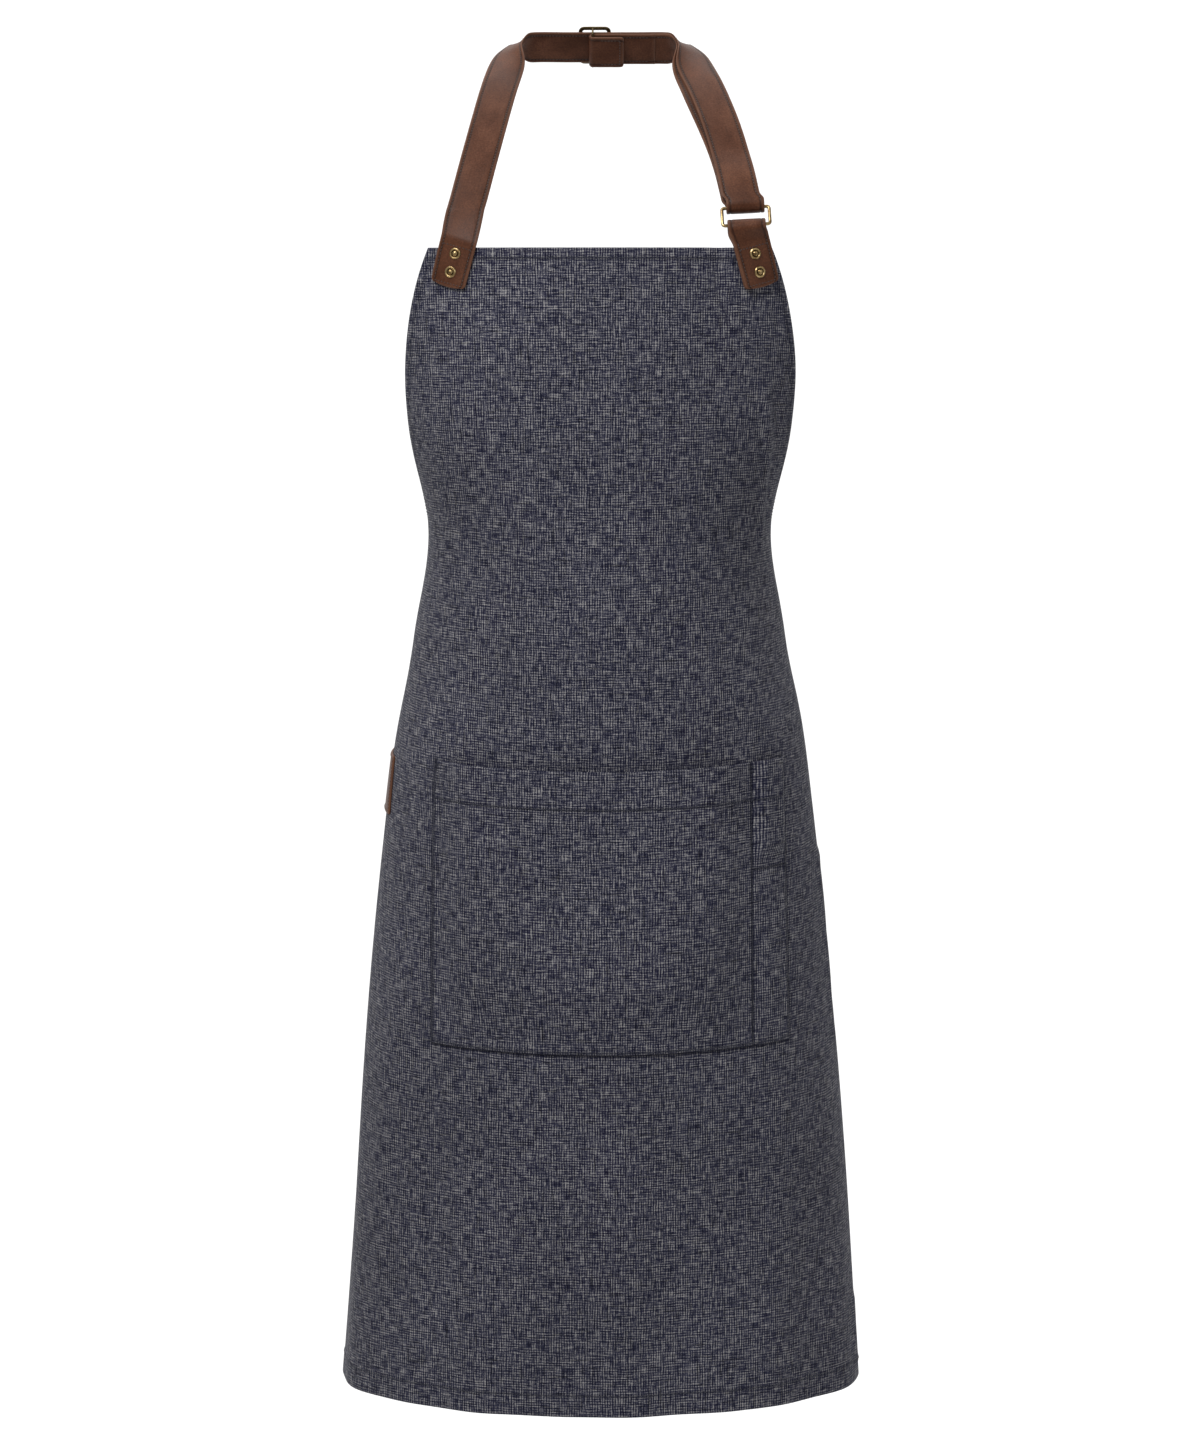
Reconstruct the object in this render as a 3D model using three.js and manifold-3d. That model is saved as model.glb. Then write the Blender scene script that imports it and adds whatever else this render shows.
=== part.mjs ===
// A butcher's bib apron in the shape it takes when it is worn: one cloth panel with a divided pocket, a leather
// neck strap with a slider and a rectangular ring, riveted leather ends and waist ties bowed at the back.
// Millimetres. +Z is up, -Y is the wearer's front, +X is the right-hand side seen from the front.
// The origin is the middle of the neck strap at the nape of the neck.
import * as THREE from 'three';
import { mergeVertices } from 'three/addons/utils/BufferGeometryUtils.js';
import Module from 'manifold-3d';

const wasm = await Module();
wasm.setup();

// ---------------------------------------------------------------- driving dimensions
const CLEAR = 0.35; // gap between pieces that touch
const CURVED = 0.25; // extra gap where a flat piece meets the curved cloth
const LOOSE = 2.6; // room round the ring's wire inside a leather fold
const BEARING = 0.85; // gap left where a fold bears on the wire

const CLOTH = {
  thick: 1.6, // the cloth with its turned edges
  length: 867, // cut length of the panel from the bib's top edge to the hem
  bibTopHalf: 129, // half the bib's width along its top edge
  skirtHalf: 335, // half the panel's width below the waist
  armholeDepth: 265, // from the bib's top edge down to the waist corners
  flare: 30, // how far each side of the bib runs out before the armhole curve starts
  flareLength: 120, // over this length
};
const POCKET = {
  top: 384, // mouth, below the bib's top edge
  height: 211,
  left: -133, // left edge, from the panel's middle
  divide: 118, // stitch line between the wide and the narrow pocket
  right: 152, // right edge
  bulge: 8, // how far the wide pocket stands off the panel
  penBulge: 7, // and the narrow one
  penDepth: 80, // the narrow pocket is stitched shut at this depth
};
const LABEL = { middle: -220, width: 54, top: 392, height: 44, thick: 1.4 };

const STRAP = { width: 28, thick: 1.8 };
const NAPE = {
  rise: 153, // nape above the bib's top edge
  lean: THREE.MathUtils.degToRad(40), // the strap lies against the back of the neck at this slope
  flatHalf: 50, // half the straight stretch across the nape
};
const STRAP_END = {
  drop: 29, // the straps' riveted ends reach this far below the bib's top edge
  startX: 105.5, // their middle line crosses the edge this far from the bib's middle
  slope: 0.28, // and runs outward at this slope
  rivetDrops: [4.5, 18],
};
// The straps flex on a line above the bib's top edge, a little nearer the middle and the wearer.
const FLEX_LINE = { rise: 23, inward: 5, back: 2.5 };
const RING = { wire: 2.4, sideRoom: 2.25, height: 17, lean: THREE.MathUtils.degToRad(3) };
const SLIDER = { middle: -4, length: 23, bar: 1.5, barX: -5.5, rail: 2.2, edgeRoom: 0.65, loopReach: 18 };
const SLIDER_TRAVEL = { left: 30, right: 10 };
const RIVET = { head: 4.4, dome: 1.7, post: 1.5, washer: 4.2, washerThick: 0.9 };
const TIE = { width: 25, thick: 1.4, sewn: 24, belowArmhole: 3 };
const BOW = { loop: 72, droop: 34, open: 8.5, stand: 6.5 };
const TAIL = { length: 185, narrowing: 0.9, spread: 24, wave: 3, sway: 2 };
const KNOT = { half: 13, deep: 9, tall: 15 };

const BIB_TOP_Z = -NAPE.rise;
const HINGE_Z = BIB_TOP_Z + FLEX_LINE.rise;
const RING_INNER = STRAP.width + 2 * RING.sideRoom;

const COLOURS = {
  cloth: { color: 0x3b3d50, roughness: 0.95, metalness: 0 },
  leather: { color: 0x5e3a2c, roughness: 0.5, metalness: 0 },
  brass: { color: 0x8f7440, roughness: 0.35, metalness: 1 },
};

// ---------------------------------------------------------------- small helpers
const vec = (x, y, z) => new THREE.Vector3(x, y, z);
const ease = (t) => {
  const c = THREE.MathUtils.clamp(t, 0, 1);
  return c * c * (3 - 2 * c);
};
const range = (count) => [...Array(count + 1).keys()].map((i) => i / count);

// A closed sheet: rows of { point, normal } with an inner and an outer offset along the normal.
function thickSheet(grid, innerOf, outerOf) {
  const rows = grid.length;
  const cols = grid[0].length;
  const positions = [];
  for (const offsetOf of [outerOf, innerOf]) {
    grid.forEach((row, i) => row.forEach((cell, j) => {
      const p = cell.point.clone().addScaledVector(cell.normal, offsetOf(i, j));
      positions.push(p.x, p.y, p.z);
    }));
  }
  const outer = (i, j) => i * cols + j;
  const inner = (i, j) => rows * cols + i * cols + j;
  const index = [];
  const quad = (a, b, c, d) => index.push(a, b, c, a, c, d);
  for (let i = 0; i < rows - 1; i += 1) {
    for (let j = 0; j < cols - 1; j += 1) {
      quad(outer(i, j), outer(i + 1, j), outer(i + 1, j + 1), outer(i, j + 1));
      quad(inner(i, j), inner(i, j + 1), inner(i + 1, j + 1), inner(i + 1, j));
    }
    quad(outer(i, 0), inner(i, 0), inner(i + 1, 0), outer(i + 1, 0));
    quad(outer(i, cols - 1), outer(i + 1, cols - 1), inner(i + 1, cols - 1), inner(i, cols - 1));
  }
  for (let j = 0; j < cols - 1; j += 1) {
    quad(outer(0, j), outer(0, j + 1), inner(0, j + 1), inner(0, j));
    quad(outer(rows - 1, j), inner(rows - 1, j), inner(rows - 1, j + 1), outer(rows - 1, j + 1));
  }
  const geometry = new THREE.BufferGeometry();
  geometry.setAttribute('position', new THREE.Float32BufferAttribute(positions, 3));
  geometry.setIndex(index);
  return facingOut(geometry);
}

// Turns every triangle over when the closed mesh is inside out.
function facingOut(geometry) {
  const p = geometry.getAttribute('position');
  const index = [...geometry.getIndex().array];
  const corner = (k) => vec(p.getX(index[k]), p.getY(index[k]), p.getZ(index[k]));
  let volume = 0;
  for (let k = 0; k < index.length; k += 3) volume += corner(k).dot(corner(k + 1).cross(corner(k + 2)));
  if (volume < 0) index.reverse();
  geometry.setIndex(index);
  return geometry;
}

// A flat strap along stations of { point, across, thick }: across is a unit vector over its width.
function ribbon(stations, width, thick) {
  const grid = stations.map((station, i) => {
    const before = stations[Math.max(i - 1, 0)].point;
    const after = stations[Math.min(i + 1, stations.length - 1)].point;
    const normal = after.clone().sub(before).cross(station.across).normalize();
    return [-1, 1].map((side) => ({
      point: station.point.clone().addScaledVector(station.across, (side * width) / 2),
      normal,
    }));
  });
  const half = (i) => ((stations[i].thick ?? thick) / 2);
  return thickSheet(grid, (i) => -half(i), half);
}

// Moves stations of a strap to one side of its own plane.
function shifted(stations, offsetOf) {
  return stations.map((station, i) => {
    const before = stations[Math.max(i - 1, 0)].point;
    const after = stations[Math.min(i + 1, stations.length - 1)].point;
    const normal = after.clone().sub(before).cross(station.across).normalize();
    return { ...station, point: station.point.clone().addScaledVector(normal, offsetOf(i)) };
  });
}

// Rounds a strap's cut end by thinning its last stations along a half circle.
function roundedEnd(stations, thick) {
  const [next, end] = stations.slice(-2);
  const along = end.point.clone().sub(next.point).normalize();
  const lastReach = 0.99;
  const tips = [0, 0.5, 0.86, lastReach].map((reach) => ({
    ...end,
    point: end.point.clone().addScaledVector(along, (reach - lastReach) * (thick / 2)),
    thick: thick * Math.sqrt(1 - reach * reach),
  }));
  return [...stations.slice(0, -1), ...tips];
}

function solidOf(geometry) {
  const bare = geometry.clone();
  for (const name of Object.keys(bare.attributes)) if (name !== 'position') bare.deleteAttribute(name);
  const merged = mergeVertices(bare, 1e-4);
  return new wasm.Manifold(new wasm.Mesh({
    numProp: 3,
    vertProperties: new Float32Array(merged.getAttribute('position').array),
    triVerts: new Uint32Array(merged.getIndex().array),
  }));
}

function geometryOf(solid) {
  const mesh = solid.getMesh();
  const geometry = new THREE.BufferGeometry();
  geometry.setAttribute('position', new THREE.Float32BufferAttribute(mesh.vertProperties, 3));
  geometry.setIndex([...mesh.triVerts]);
  return geometry;
}

// Turns a geometry's +Y to the given direction and moves its origin to a place.
function placed(geometry, place, direction) {
  const turn = new THREE.Quaternion().setFromUnitVectors(vec(0, 1, 0), direction);
  return geometry.applyQuaternion(turn).translate(place.x, place.y, place.z);
}

const apron = new THREE.Group();
function add(name, geometry, look) {
  const material = new THREE.MeshStandardMaterial(COLOURS[look]);
  const mesh = new THREE.Mesh(geometry, material);
  mesh.name = name;
  apron.add(mesh);
  return mesh;
}

// ---------------------------------------------------------------- the worn form
// Level sections from the bib's top edge down: half-ellipses in shares of the skirt's half width.
// drop is the height below the bib's top edge, front the distance of the cloth in front of the nape.
const FORM = [
  { drop: 0, across: 0.446, deep: 0.125, front: 0.418 },
  { drop: 70, across: 0.457, deep: 0.21, front: 0.451 },
  { drop: 130, across: 0.439, deep: 0.255, front: 0.454 },
  { drop: 215, across: 0.388, deep: 0.3, front: 0.44 },
  { drop: 300, across: 0.421, deep: 0.32, front: 0.457 },
  { drop: 400, across: 0.472, deep: 0.335, front: 0.485 },
  { drop: 600, across: 0.536, deep: 0.365, front: 0.503 },
  { drop: CLOTH.length, across: 0.597, deep: 0.38, front: 0.527 },
];

// Smooth curve through the sections, with slopes taken from their neighbours.
function formAt(drop) {
  const last = FORM.length - 1;
  const i = Math.min(Math.max(FORM.findIndex((section) => section.drop > drop) - 1, 0), last - 1);
  const k = drop >= FORM[last].drop ? last - 1 : i;
  const [a, b] = [FORM[k], FORM[k + 1]];
  const [before, after] = [FORM[Math.max(k - 1, 0)], FORM[Math.min(k + 2, last)]];
  const gap = b.drop - a.drop;
  const t = (drop - a.drop) / gap;
  const blend = (key) => {
    const slopeA = ((b[key] - before[key]) / (b.drop - before.drop)) * gap;
    const slopeB = ((after[key] - a[key]) / (after.drop - a.drop)) * gap;
    const c = 3 * (b[key] - a[key]) - 2 * slopeA - slopeB;
    const d = 2 * (a[key] - b[key]) + slopeA + slopeB;
    return (a[key] + slopeA * t + c * t * t + d * t * t * t) * CLOTH.skirtHalf;
  };
  return { across: blend('across'), deep: blend('deep'), front: blend('front') };
}

// The angle round a half-ellipse at which its edge has run the given length from the front.
function angleAt(across, deep, length) {
  const steps = 240;
  const step = Math.PI / steps;
  let run = 0;
  let angle = 0;
  while (angle < Math.PI) {
    const piece = Math.hypot(across * Math.cos(angle + step / 2), deep * Math.sin(angle + step / 2)) * step;
    if (run + piece >= length) return angle + (step * (length - run)) / piece;
    run += piece;
    angle += step;
  }
  return angle;
}

// Cloth rises to its sides below the bib, where the waist ties lift it, and sinks again to the hem.
const LIFT = { rise: 26, from: 40, over: 300, fallFrom: 500, fall: 0.95 };

function sideRise(u, v) {
  const grow = ease((v - LIFT.from) / LIFT.over);
  const sink = LIFT.fall * ease((v - LIFT.fallFrom) / (CLOTH.length - LIFT.fallFrom));
  return LIFT.rise * grow * (1 - sink) * (u / CLOTH.skirtHalf) ** 2;
}

// The place on the form of a point u across and v down the flat cloth.
function formPoint(u, v) {
  const { across, deep, front } = formAt(v);
  const angle = angleAt(across, deep, Math.abs(u));
  return vec(
    Math.sign(u) * across * Math.sin(angle),
    deep * (1 - Math.cos(angle)) - front,
    BIB_TOP_Z - v + sideRise(u, v),
  );
}

// The same place with the direction that faces away from the wearer.
function formCell(u, v) {
  const step = 0.5;
  const across = formPoint(u + step, v).sub(formPoint(u - step, v));
  const down = formPoint(u, v + step).sub(formPoint(u, v - step));
  return { point: formPoint(u, v), normal: down.cross(across).normalize() };
}

const formGrid = (us, vs) => vs.map((v) => us.map((u) => formCell(u, v)));
const between = (from, to, count) => range(count).map((t) => from + (to - from) * t);

// ---------------------------------------------------------------- cloth panel
// Half the panel's width at each height: the bib runs out, then the armhole curves to the waist corner.
function panelHalf(v) {
  const { bibTopHalf, flare, flareLength, skirtHalf, armholeDepth } = CLOTH;
  if (v >= armholeDepth) return skirtHalf;
  const run = 1 - Math.max(1 - v / flareLength, 0) ** 2;
  const hollow = 1 - Math.cbrt(1 - (v / armholeDepth) ** 3);
  return bibTopHalf + flare * run + (skirtHalf - bibTopHalf - flare) * hollow;
}

const PANEL_COLUMNS = 30;
const RIVETED_ROWS = 3;
const BIB_ROWS = 12;
const SKIRT_ROWS = 20;

function panelGeometry() {
  const riveted = between(0, STRAP_END.drop, RIVETED_ROWS).slice(0, -1);
  const turn = Math.asin(STRAP_END.drop / CLOTH.armholeDepth);
  const bib = between(turn, Math.PI / 2, BIB_ROWS).map((t) => CLOTH.armholeDepth * Math.sin(t));
  const skirt = between(CLOTH.armholeDepth, CLOTH.length, SKIRT_ROWS).slice(1);
  const columns = range(PANEL_COLUMNS).map((t) => 2 * t - 1);
  const rows = [...riveted, ...bib, ...skirt];
  const grid = rows.map((v) => columns.map((share) => formCell(share * panelHalf(v), v)));
  return thickSheet(grid, () => -CLOTH.thick / 2, () => CLOTH.thick / 2);
}

const PANEL_FACE = CLOTH.thick / 2; // the cloth's outer face, from its middle

// ---------------------------------------------------------------- pockets and label
// The hollow of a pocket: flat along its sewn edges, full in the middle and at the mouth.
const hump = (t, margin) => ease(Math.min(t, 1 - t) / margin);
const POCKET_SEAT = PANEL_FACE + CLEAR + CURVED;
const POCKET_FLAT = { from: 0.72, wideMargin: 0.16, penMargin: 0.3 };

function pocketStand(u, v) {
  const { top, height, left, divide, right, bulge, penBulge, penDepth } = POCKET;
  const down = (v - top) / (u < divide ? height : penDepth);
  const sink = 1 - ease((down - POCKET_FLAT.from) / (1 - POCKET_FLAT.from));
  const wide = bulge * hump((u - left) / (divide - left), POCKET_FLAT.wideMargin);
  const narrow = penBulge * hump((u - divide) / (right - divide), POCKET_FLAT.penMargin);
  return POCKET_SEAT + (u < divide ? wide : narrow) * sink;
}

const POCKET_SIDE = 40; // columns are finer this near the wide pocket's side seams
const POCKET_US = [
  ...between(POCKET.left, POCKET.left + POCKET_SIDE, 4),
  ...between(POCKET.left + POCKET_SIDE, POCKET.divide - POCKET_SIDE, 11).slice(1),
  ...between(POCKET.divide - POCKET_SIDE, POCKET.divide, 4).slice(1),
  ...between(POCKET.divide, POCKET.right, 6).slice(1),
];
const POCKET_VS = between(POCKET.top, POCKET.top + POCKET.height, 13);

function pocketGeometry() {
  const stand = (i, j) => pocketStand(POCKET_US[j], POCKET_VS[i]);
  return thickSheet(formGrid(POCKET_US, POCKET_VS), stand, (i, j) => stand(i, j) + CLOTH.thick);
}

function labelGeometry() {
  const us = between(LABEL.middle - LABEL.width / 2, LABEL.middle + LABEL.width / 2, 8);
  const vs = between(LABEL.top, LABEL.top + LABEL.height, 4);
  const inner = PANEL_FACE + CLEAR + CURVED;
  return thickSheet(formGrid(us, vs), () => inner, () => inner + LABEL.thick);
}

// ---------------------------------------------------------------- neck strap
// Where half of the strap runs, from the nape's straight stretch over one shoulder to the flex line:
// shares of the way outward, forward and down.
const COURSE = [
  [0.218, 0.048, 0.012], [0.337, 0.159, 0.054], [0.406, 0.287, 0.131], [0.515, 0.454, 0.269],
  [0.653, 0.653, 0.477], [0.802, 0.829, 0.708], [0.941, 0.956, 0.923], [1, 1, 1],
];
const flexX = STRAP_END.startX - FLEX_LINE.inward;
const flexY = formPoint(STRAP_END.startX, 0).y + FLEX_LINE.back;
const OUTWARD_NAPE = vec(0, Math.sin(NAPE.lean), -Math.cos(NAPE.lean));
const STRAP_STEP = 11;
// The strap turns from the back of the neck to the chest over this length.
const TURN_LENGTH = 75;

// The right-hand run stands a little wider than the left-hand one, most of all half way down.
const SPREAD = { most: 0.09, fullAt: 0.46, closeFrom: 0.69, close: 0.25 };

function spreadAt(side, z) {
  if (side < 0) return 1;
  const way = z / HINGE_Z;
  const closed = SPREAD.close * ease((way - SPREAD.closeFrom) / (1 - SPREAD.closeFrom));
  return 1 + SPREAD.most * (ease(way / SPREAD.fullAt) - closed);
}

function strapStations(side) {
  const straight = between(0, NAPE.flatHalf, 4).map((x) => vec(side * x, 0, 0));
  const bend = COURSE.map(([out, forward, down]) => {
    const z = down * HINGE_Z;
    const x = NAPE.flatHalf + out * (flexX - NAPE.flatHalf);
    return vec(side * x * spreadAt(side, z), forward * flexY, z);
  });
  const points = [straight[0], straight[2], straight.at(-1), ...bend];
  const curve = new THREE.CatmullRomCurve3(points, false, 'centripetal');
  const length = curve.getLength();
  const count = Math.round((length - NAPE.flatHalf) / STRAP_STEP);
  const bent = between(NAPE.flatHalf / length, 1, count).slice(1).map((t) => curve.getPointAt(t));
  const lean = side > 0 ? RING.lean : 0;
  const outwardFront = vec(side * Math.cos(lean), 0, Math.sin(lean));
  return [...straight, ...bent].map((point, i) => {
    const turn = ease((i - straight.length + 1) / (TURN_LENGTH / STRAP_STEP));
    return { point, across: OUTWARD_NAPE.clone().lerp(outwardFront, turn).normalize() };
  });
}

const leftRun = strapStations(-1);
const rightRun = strapStations(1);
const leftFlex = leftRun.at(-1);
const LAYER = STRAP.thick + CLEAR; // from one strap layer's middle to the next one's
const INNER_SHIFT = 5; // the inner layer lies this much nearer to the neck, half way down

// The ring hangs in the strap's lower fold; its middle is the point that the bib swings about.
const ringMiddle = rightRun.at(-1).point.clone();
const ringAcross = rightRun.at(-1).across.clone();
const ringDown = ringMiddle.clone().sub(rightRun.at(-2).point).projectOnPlane(ringAcross).normalize();
const barOffset = (RING.height - RING.wire) / 2;
const foldRadius = RING.wire / 2 + LOOSE + STRAP.thick / 2;

// A strap's half turn round a bar, from its front layer through the given direction to its back layer.
function foldStations(bar, through, across) {
  const steps = 8;
  const forward = vec(0, -1, 0).projectOnPlane(through).normalize();
  const middle = bar.clone().addScaledVector(through, BEARING - LOOSE);
  const place = (front, reach) => {
    const level = middle.clone().addScaledVector(forward, foldRadius * front);
    return { point: level.addScaledVector(through, foldRadius * reach), across: across.clone() };
  };
  const turn = range(steps).map((t) => place(Math.cos(Math.PI * t), Math.sin(Math.PI * t)));
  return [place(1, -0.6), ...turn, place(-1, -0.6)];
}

// Left run, nape, right outer layer, fold at the ring and the inner layer back to the nape.
function neckStrapGeometry() {
  const upperBar = ringMiddle.clone().addScaledVector(ringDown, -barOffset);
  const innerStart = rightRun.findIndex((s) => s.point.x > SLIDER.loopReach + SLIDER_TRAVEL.right + 1);
  const openOver = 38; // the layers part over this length above the fold
  const lead = rightRun.filter((s) => s.point.distanceTo(upperBar) > foldRadius + 2 && s.point.z > upperBar.z);
  const open = (s) => 1 - ease((s.point.distanceTo(upperBar) - foldRadius - STRAP_STEP) / openOver);
  // Near the ring the two layers part evenly to both sides of the wire.
  const outerLayer = shifted(lead, (i) => open(lead[i]) * foldRadius);
  const innerLayer = shifted(lead, (i) => -LAYER - open(lead[i]) * (foldRadius - LAYER));
  innerLayer.forEach((s, i) => {
    const shift = INNER_SHIFT * Math.sin(Math.PI * ease((i - innerStart) / (innerLayer.length - innerStart)));
    s.point.addScaledVector(s.across, -shift);
  });
  const fold = foldStations(upperBar, ringDown, ringAcross);
  const left = roundedEnd(leftRun, STRAP.thick).reverse();
  const stations = [...left, ...outerLayer.slice(1), ...fold, ...innerLayer.slice(innerStart).reverse()];
  return ribbon(stations, STRAP.width, STRAP.thick);
}

// Strap ends on the bib: the middle line at a height below the bib's top edge, on the flat cloth.
const endU = (side, drop) => side * (STRAP_END.startX * spreadAt(side, BIB_TOP_Z) + STRAP_END.slope * drop);

// Stations down the bib from its top edge, a number of layers in front of the cloth.
function endStations(side, layer) {
  const offset = PANEL_FACE + CLEAR + STRAP.thick / 2 + layer * LAYER;
  return between(-6, STRAP_END.drop, 6).map((drop) => {
    const u = endU(side, drop);
    const cell = formCell(u, Math.max(drop, 0));
    const point = cell.point.clone().addScaledVector(cell.normal, offset);
    point.z -= Math.min(drop, 0);
    const lean = vec(side * STRAP_END.slope, 0, -1).normalize();
    const across = lean.cross(cell.normal).multiplyScalar(side).normalize();
    if (across.x * side < 0) across.negate();
    return { point, across };
  });
}

const FLEX_GAP = 0.45;

function leftEndGeometry() {
  const down = endStations(-1, 0);
  const flexAcross = leftFlex.across.clone();
  const start = leftFlex.point.clone().add(vec(0, 0, -FLEX_GAP));
  const first = down[0];
  const neck = between(0, 1, 3).slice(0, -1).map((t) => ({
    point: start.clone().lerp(first.point, t),
    across: flexAcross.clone().lerp(first.across, ease(t)).normalize(),
  }));
  const stations = roundedEnd([...neck, ...down].reverse(), STRAP.thick);
  return ribbon(stations, STRAP.width, STRAP.thick);
}

// The right-hand tab: one leather strip folded over the ring's lower bar, both legs on the bib.
function ringTabGeometry() {
  const lowerBar = ringMiddle.clone().addScaledVector(ringDown, barOffset);
  const up = ringDown.clone().negate();
  const front = endStations(1, 1);
  const back = endStations(1, 0);
  const fold = foldStations(lowerBar, up, ringAcross);
  return ribbon([...front.reverse(), ...fold, ...back], STRAP.width, STRAP.thick);
}

// ---------------------------------------------------------------- ring and slider
function roundedOutline(width, height, corner) {
  const [w, h] = [width / 2, height / 2];
  const shape = new THREE.Shape();
  shape.moveTo(-w + corner, -h);
  shape.lineTo(w - corner, -h);
  shape.absarc(w - corner, -h + corner, corner, -Math.PI / 2, 0);
  shape.lineTo(w, h - corner);
  shape.absarc(w - corner, h - corner, corner, 0, Math.PI / 2);
  shape.lineTo(-w + corner, h);
  shape.absarc(-w + corner, h - corner, corner, Math.PI / 2, Math.PI);
  shape.lineTo(-w, -h + corner);
  shape.absarc(-w + corner, -h + corner, corner, Math.PI, 1.5 * Math.PI);
  return shape;
}

function ringGeometry() {
  const bevel = RING.wire * 0.3;
  const [width, height] = [RING_INNER + 2 * RING.wire, RING.height];
  const hole = [RING_INNER, height - 2 * RING.wire].map((size) => size + 2 * bevel);
  const outline = roundedOutline(width - 2 * bevel, height - 2 * bevel, RING.wire * 1.25);
  outline.holes.push(roundedOutline(...hole, RING.wire * 0.65));
  const geometry = new THREE.ExtrudeGeometry(outline, {
    depth: RING.wire - 2 * bevel,
    bevelThickness: bevel,
    bevelSize: bevel,
    bevelSegments: 2,
    curveSegments: 5,
  });
  geometry.translate(0, 0, -(RING.wire - 2 * bevel) / 2);
  const up = ringDown.clone().negate();
  const frame = new THREE.Matrix4().makeBasis(ringAcross, up, ringAcross.clone().cross(up));
  return geometry.applyMatrix4(frame).translate(ringMiddle.x, ringMiddle.y, ringMiddle.z);
}

// The slider's own frame: x along the strap, y over its width, z away from the neck.
const AWAY_FROM_NECK = vec(0, Math.cos(NAPE.lean), Math.sin(NAPE.lean));
const napeFrame = new THREE.Matrix4().makeBasis(vec(1, 0, 0), OUTWARD_NAPE, AWAY_FROM_NECK);
const sideBarZ = STRAP.thick / 2 + CLEAR + SLIDER.bar / 2;
const middleBarZ = -(LAYER + STRAP.thick / 2 + CLEAR + SLIDER.bar / 2);

function sliderBar(x, z, span) {
  const bar = new THREE.CylinderGeometry(SLIDER.bar / 2, SLIDER.bar / 2, span, 10);
  return bar.translate(x, 0, z);
}

// Two bent rails over the strap's edges, joined by a bar at each end and one in the middle.
function sliderGeometry() {
  const span = STRAP.width + 2 * SLIDER.edgeRoom + SLIDER.rail;
  const end = SLIDER.length / 2 - SLIDER.bar / 2;
  const half = SLIDER.bar / 2;
  const barX = SLIDER.barX - SLIDER.middle;
  const rail = new THREE.Shape();
  rail.moveTo(-end - half, sideBarZ - half);
  rail.lineTo(barX - 2.4, middleBarZ - half);
  rail.lineTo(barX + 2.4, middleBarZ - half);
  rail.lineTo(end + half, sideBarZ - half);
  rail.lineTo(end + half, sideBarZ + half);
  rail.lineTo(end - 1.2, sideBarZ + half);
  rail.lineTo(barX + 2, middleBarZ + half + 0.4);
  rail.lineTo(barX - 2, middleBarZ + half + 0.4);
  rail.lineTo(-end + 1.2, sideBarZ + half);
  rail.lineTo(-end - half, sideBarZ + half);
  const bars = [[-end, sideBarZ], [barX, middleBarZ], [end, sideBarZ]]
    .map(([x, z]) => solidOf(sliderBar(x, z, span + SLIDER.rail / 2)));
  const rails = [-1, 1].map((side) => {
    const shape = new THREE.ExtrudeGeometry(rail, { depth: SLIDER.rail, bevelEnabled: false });
    shape.translate(0, 0, -SLIDER.rail / 2).rotateX(Math.PI / 2);
    return solidOf(shape.translate(0, (side * span) / 2, 0));
  });
  const whole = [...bars, ...rails].reduce((sum, piece) => sum.add(piece));
  return geometryOf(whole).translate(SLIDER.middle, 0, 0).applyMatrix4(napeFrame);
}

// The strap's free end, turned round the slider's middle bar and stitched to itself.
function loopEndGeometry() {
  const radius = SLIDER.bar / 2 + CLEAR + STRAP.thick / 2;
  const reach = SLIDER.loopReach;
  const across = vec(0, 1, 0);
  const near = [reach, reach * 0.5].map((x) => vec(x, 0, middleBarZ - radius));
  const far = [reach * 0.5, reach].map((x) => vec(x, 0, middleBarZ + radius));
  const turn = range(8).map((t) => vec(
    SLIDER.barX - radius * Math.sin(Math.PI * t),
    0,
    middleBarZ - radius * Math.cos(Math.PI * t),
  ));
  const stations = [...near, ...turn, ...far].map((point) => ({ point, across: across.clone() }));
  return ribbon(stations, STRAP.width, STRAP.thick).applyMatrix4(napeFrame);
}

// ---------------------------------------------------------------- rivets
function rivetHeadProfile(reach) {
  const { head, dome, post } = RIVET;
  return [
    [0, -reach], [post, -reach], [post, 0], [head, 0], [head, 0.5],
    [head - 0.5, dome * 0.75], [head * 0.66, dome * 0.75], [head * 0.55, dome * 0.45],
    [head * 0.4, dome * 0.8], [head * 0.2, dome], [0, dome],
  ].map(([r, z]) => new THREE.Vector2(r, z));
}

function washerProfile() {
  const { washer, washerThick, post } = RIVET;
  const hole = post + CLEAR;
  return [[hole, 0], [washer, 0], [washer - 0.3, washerThick], [hole, washerThick], [hole, 0]]
    .map(([r, z]) => new THREE.Vector2(r, z));
}

const RIVET_SIDES = 20;

// Where each rivet goes: on the strap end's middle line, square to the bib.
function rivetSeat(side, drop) {
  const cell = formCell(endU(side, drop), drop);
  const layers = side > 0 ? 2 : 1;
  return { ...cell, faceOffset: PANEL_FACE + layers * LAYER + CLEAR };
}

function rivetGeometry(seat) {
  const reach = seat.faceOffset + PANEL_FACE + CLEAR + CURVED + RIVET.washerThick;
  const place = seat.point.clone().addScaledVector(seat.normal, seat.faceOffset);
  return placed(new THREE.LatheGeometry(rivetHeadProfile(reach), RIVET_SIDES), place, seat.normal);
}

function washerGeometry(seat) {
  const place = seat.point.clone().addScaledVector(seat.normal, -(PANEL_FACE + CLEAR + CURVED));
  const back = seat.normal.clone().negate();
  return placed(new THREE.LatheGeometry(washerProfile(), RIVET_SIDES), place, back);
}

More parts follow.
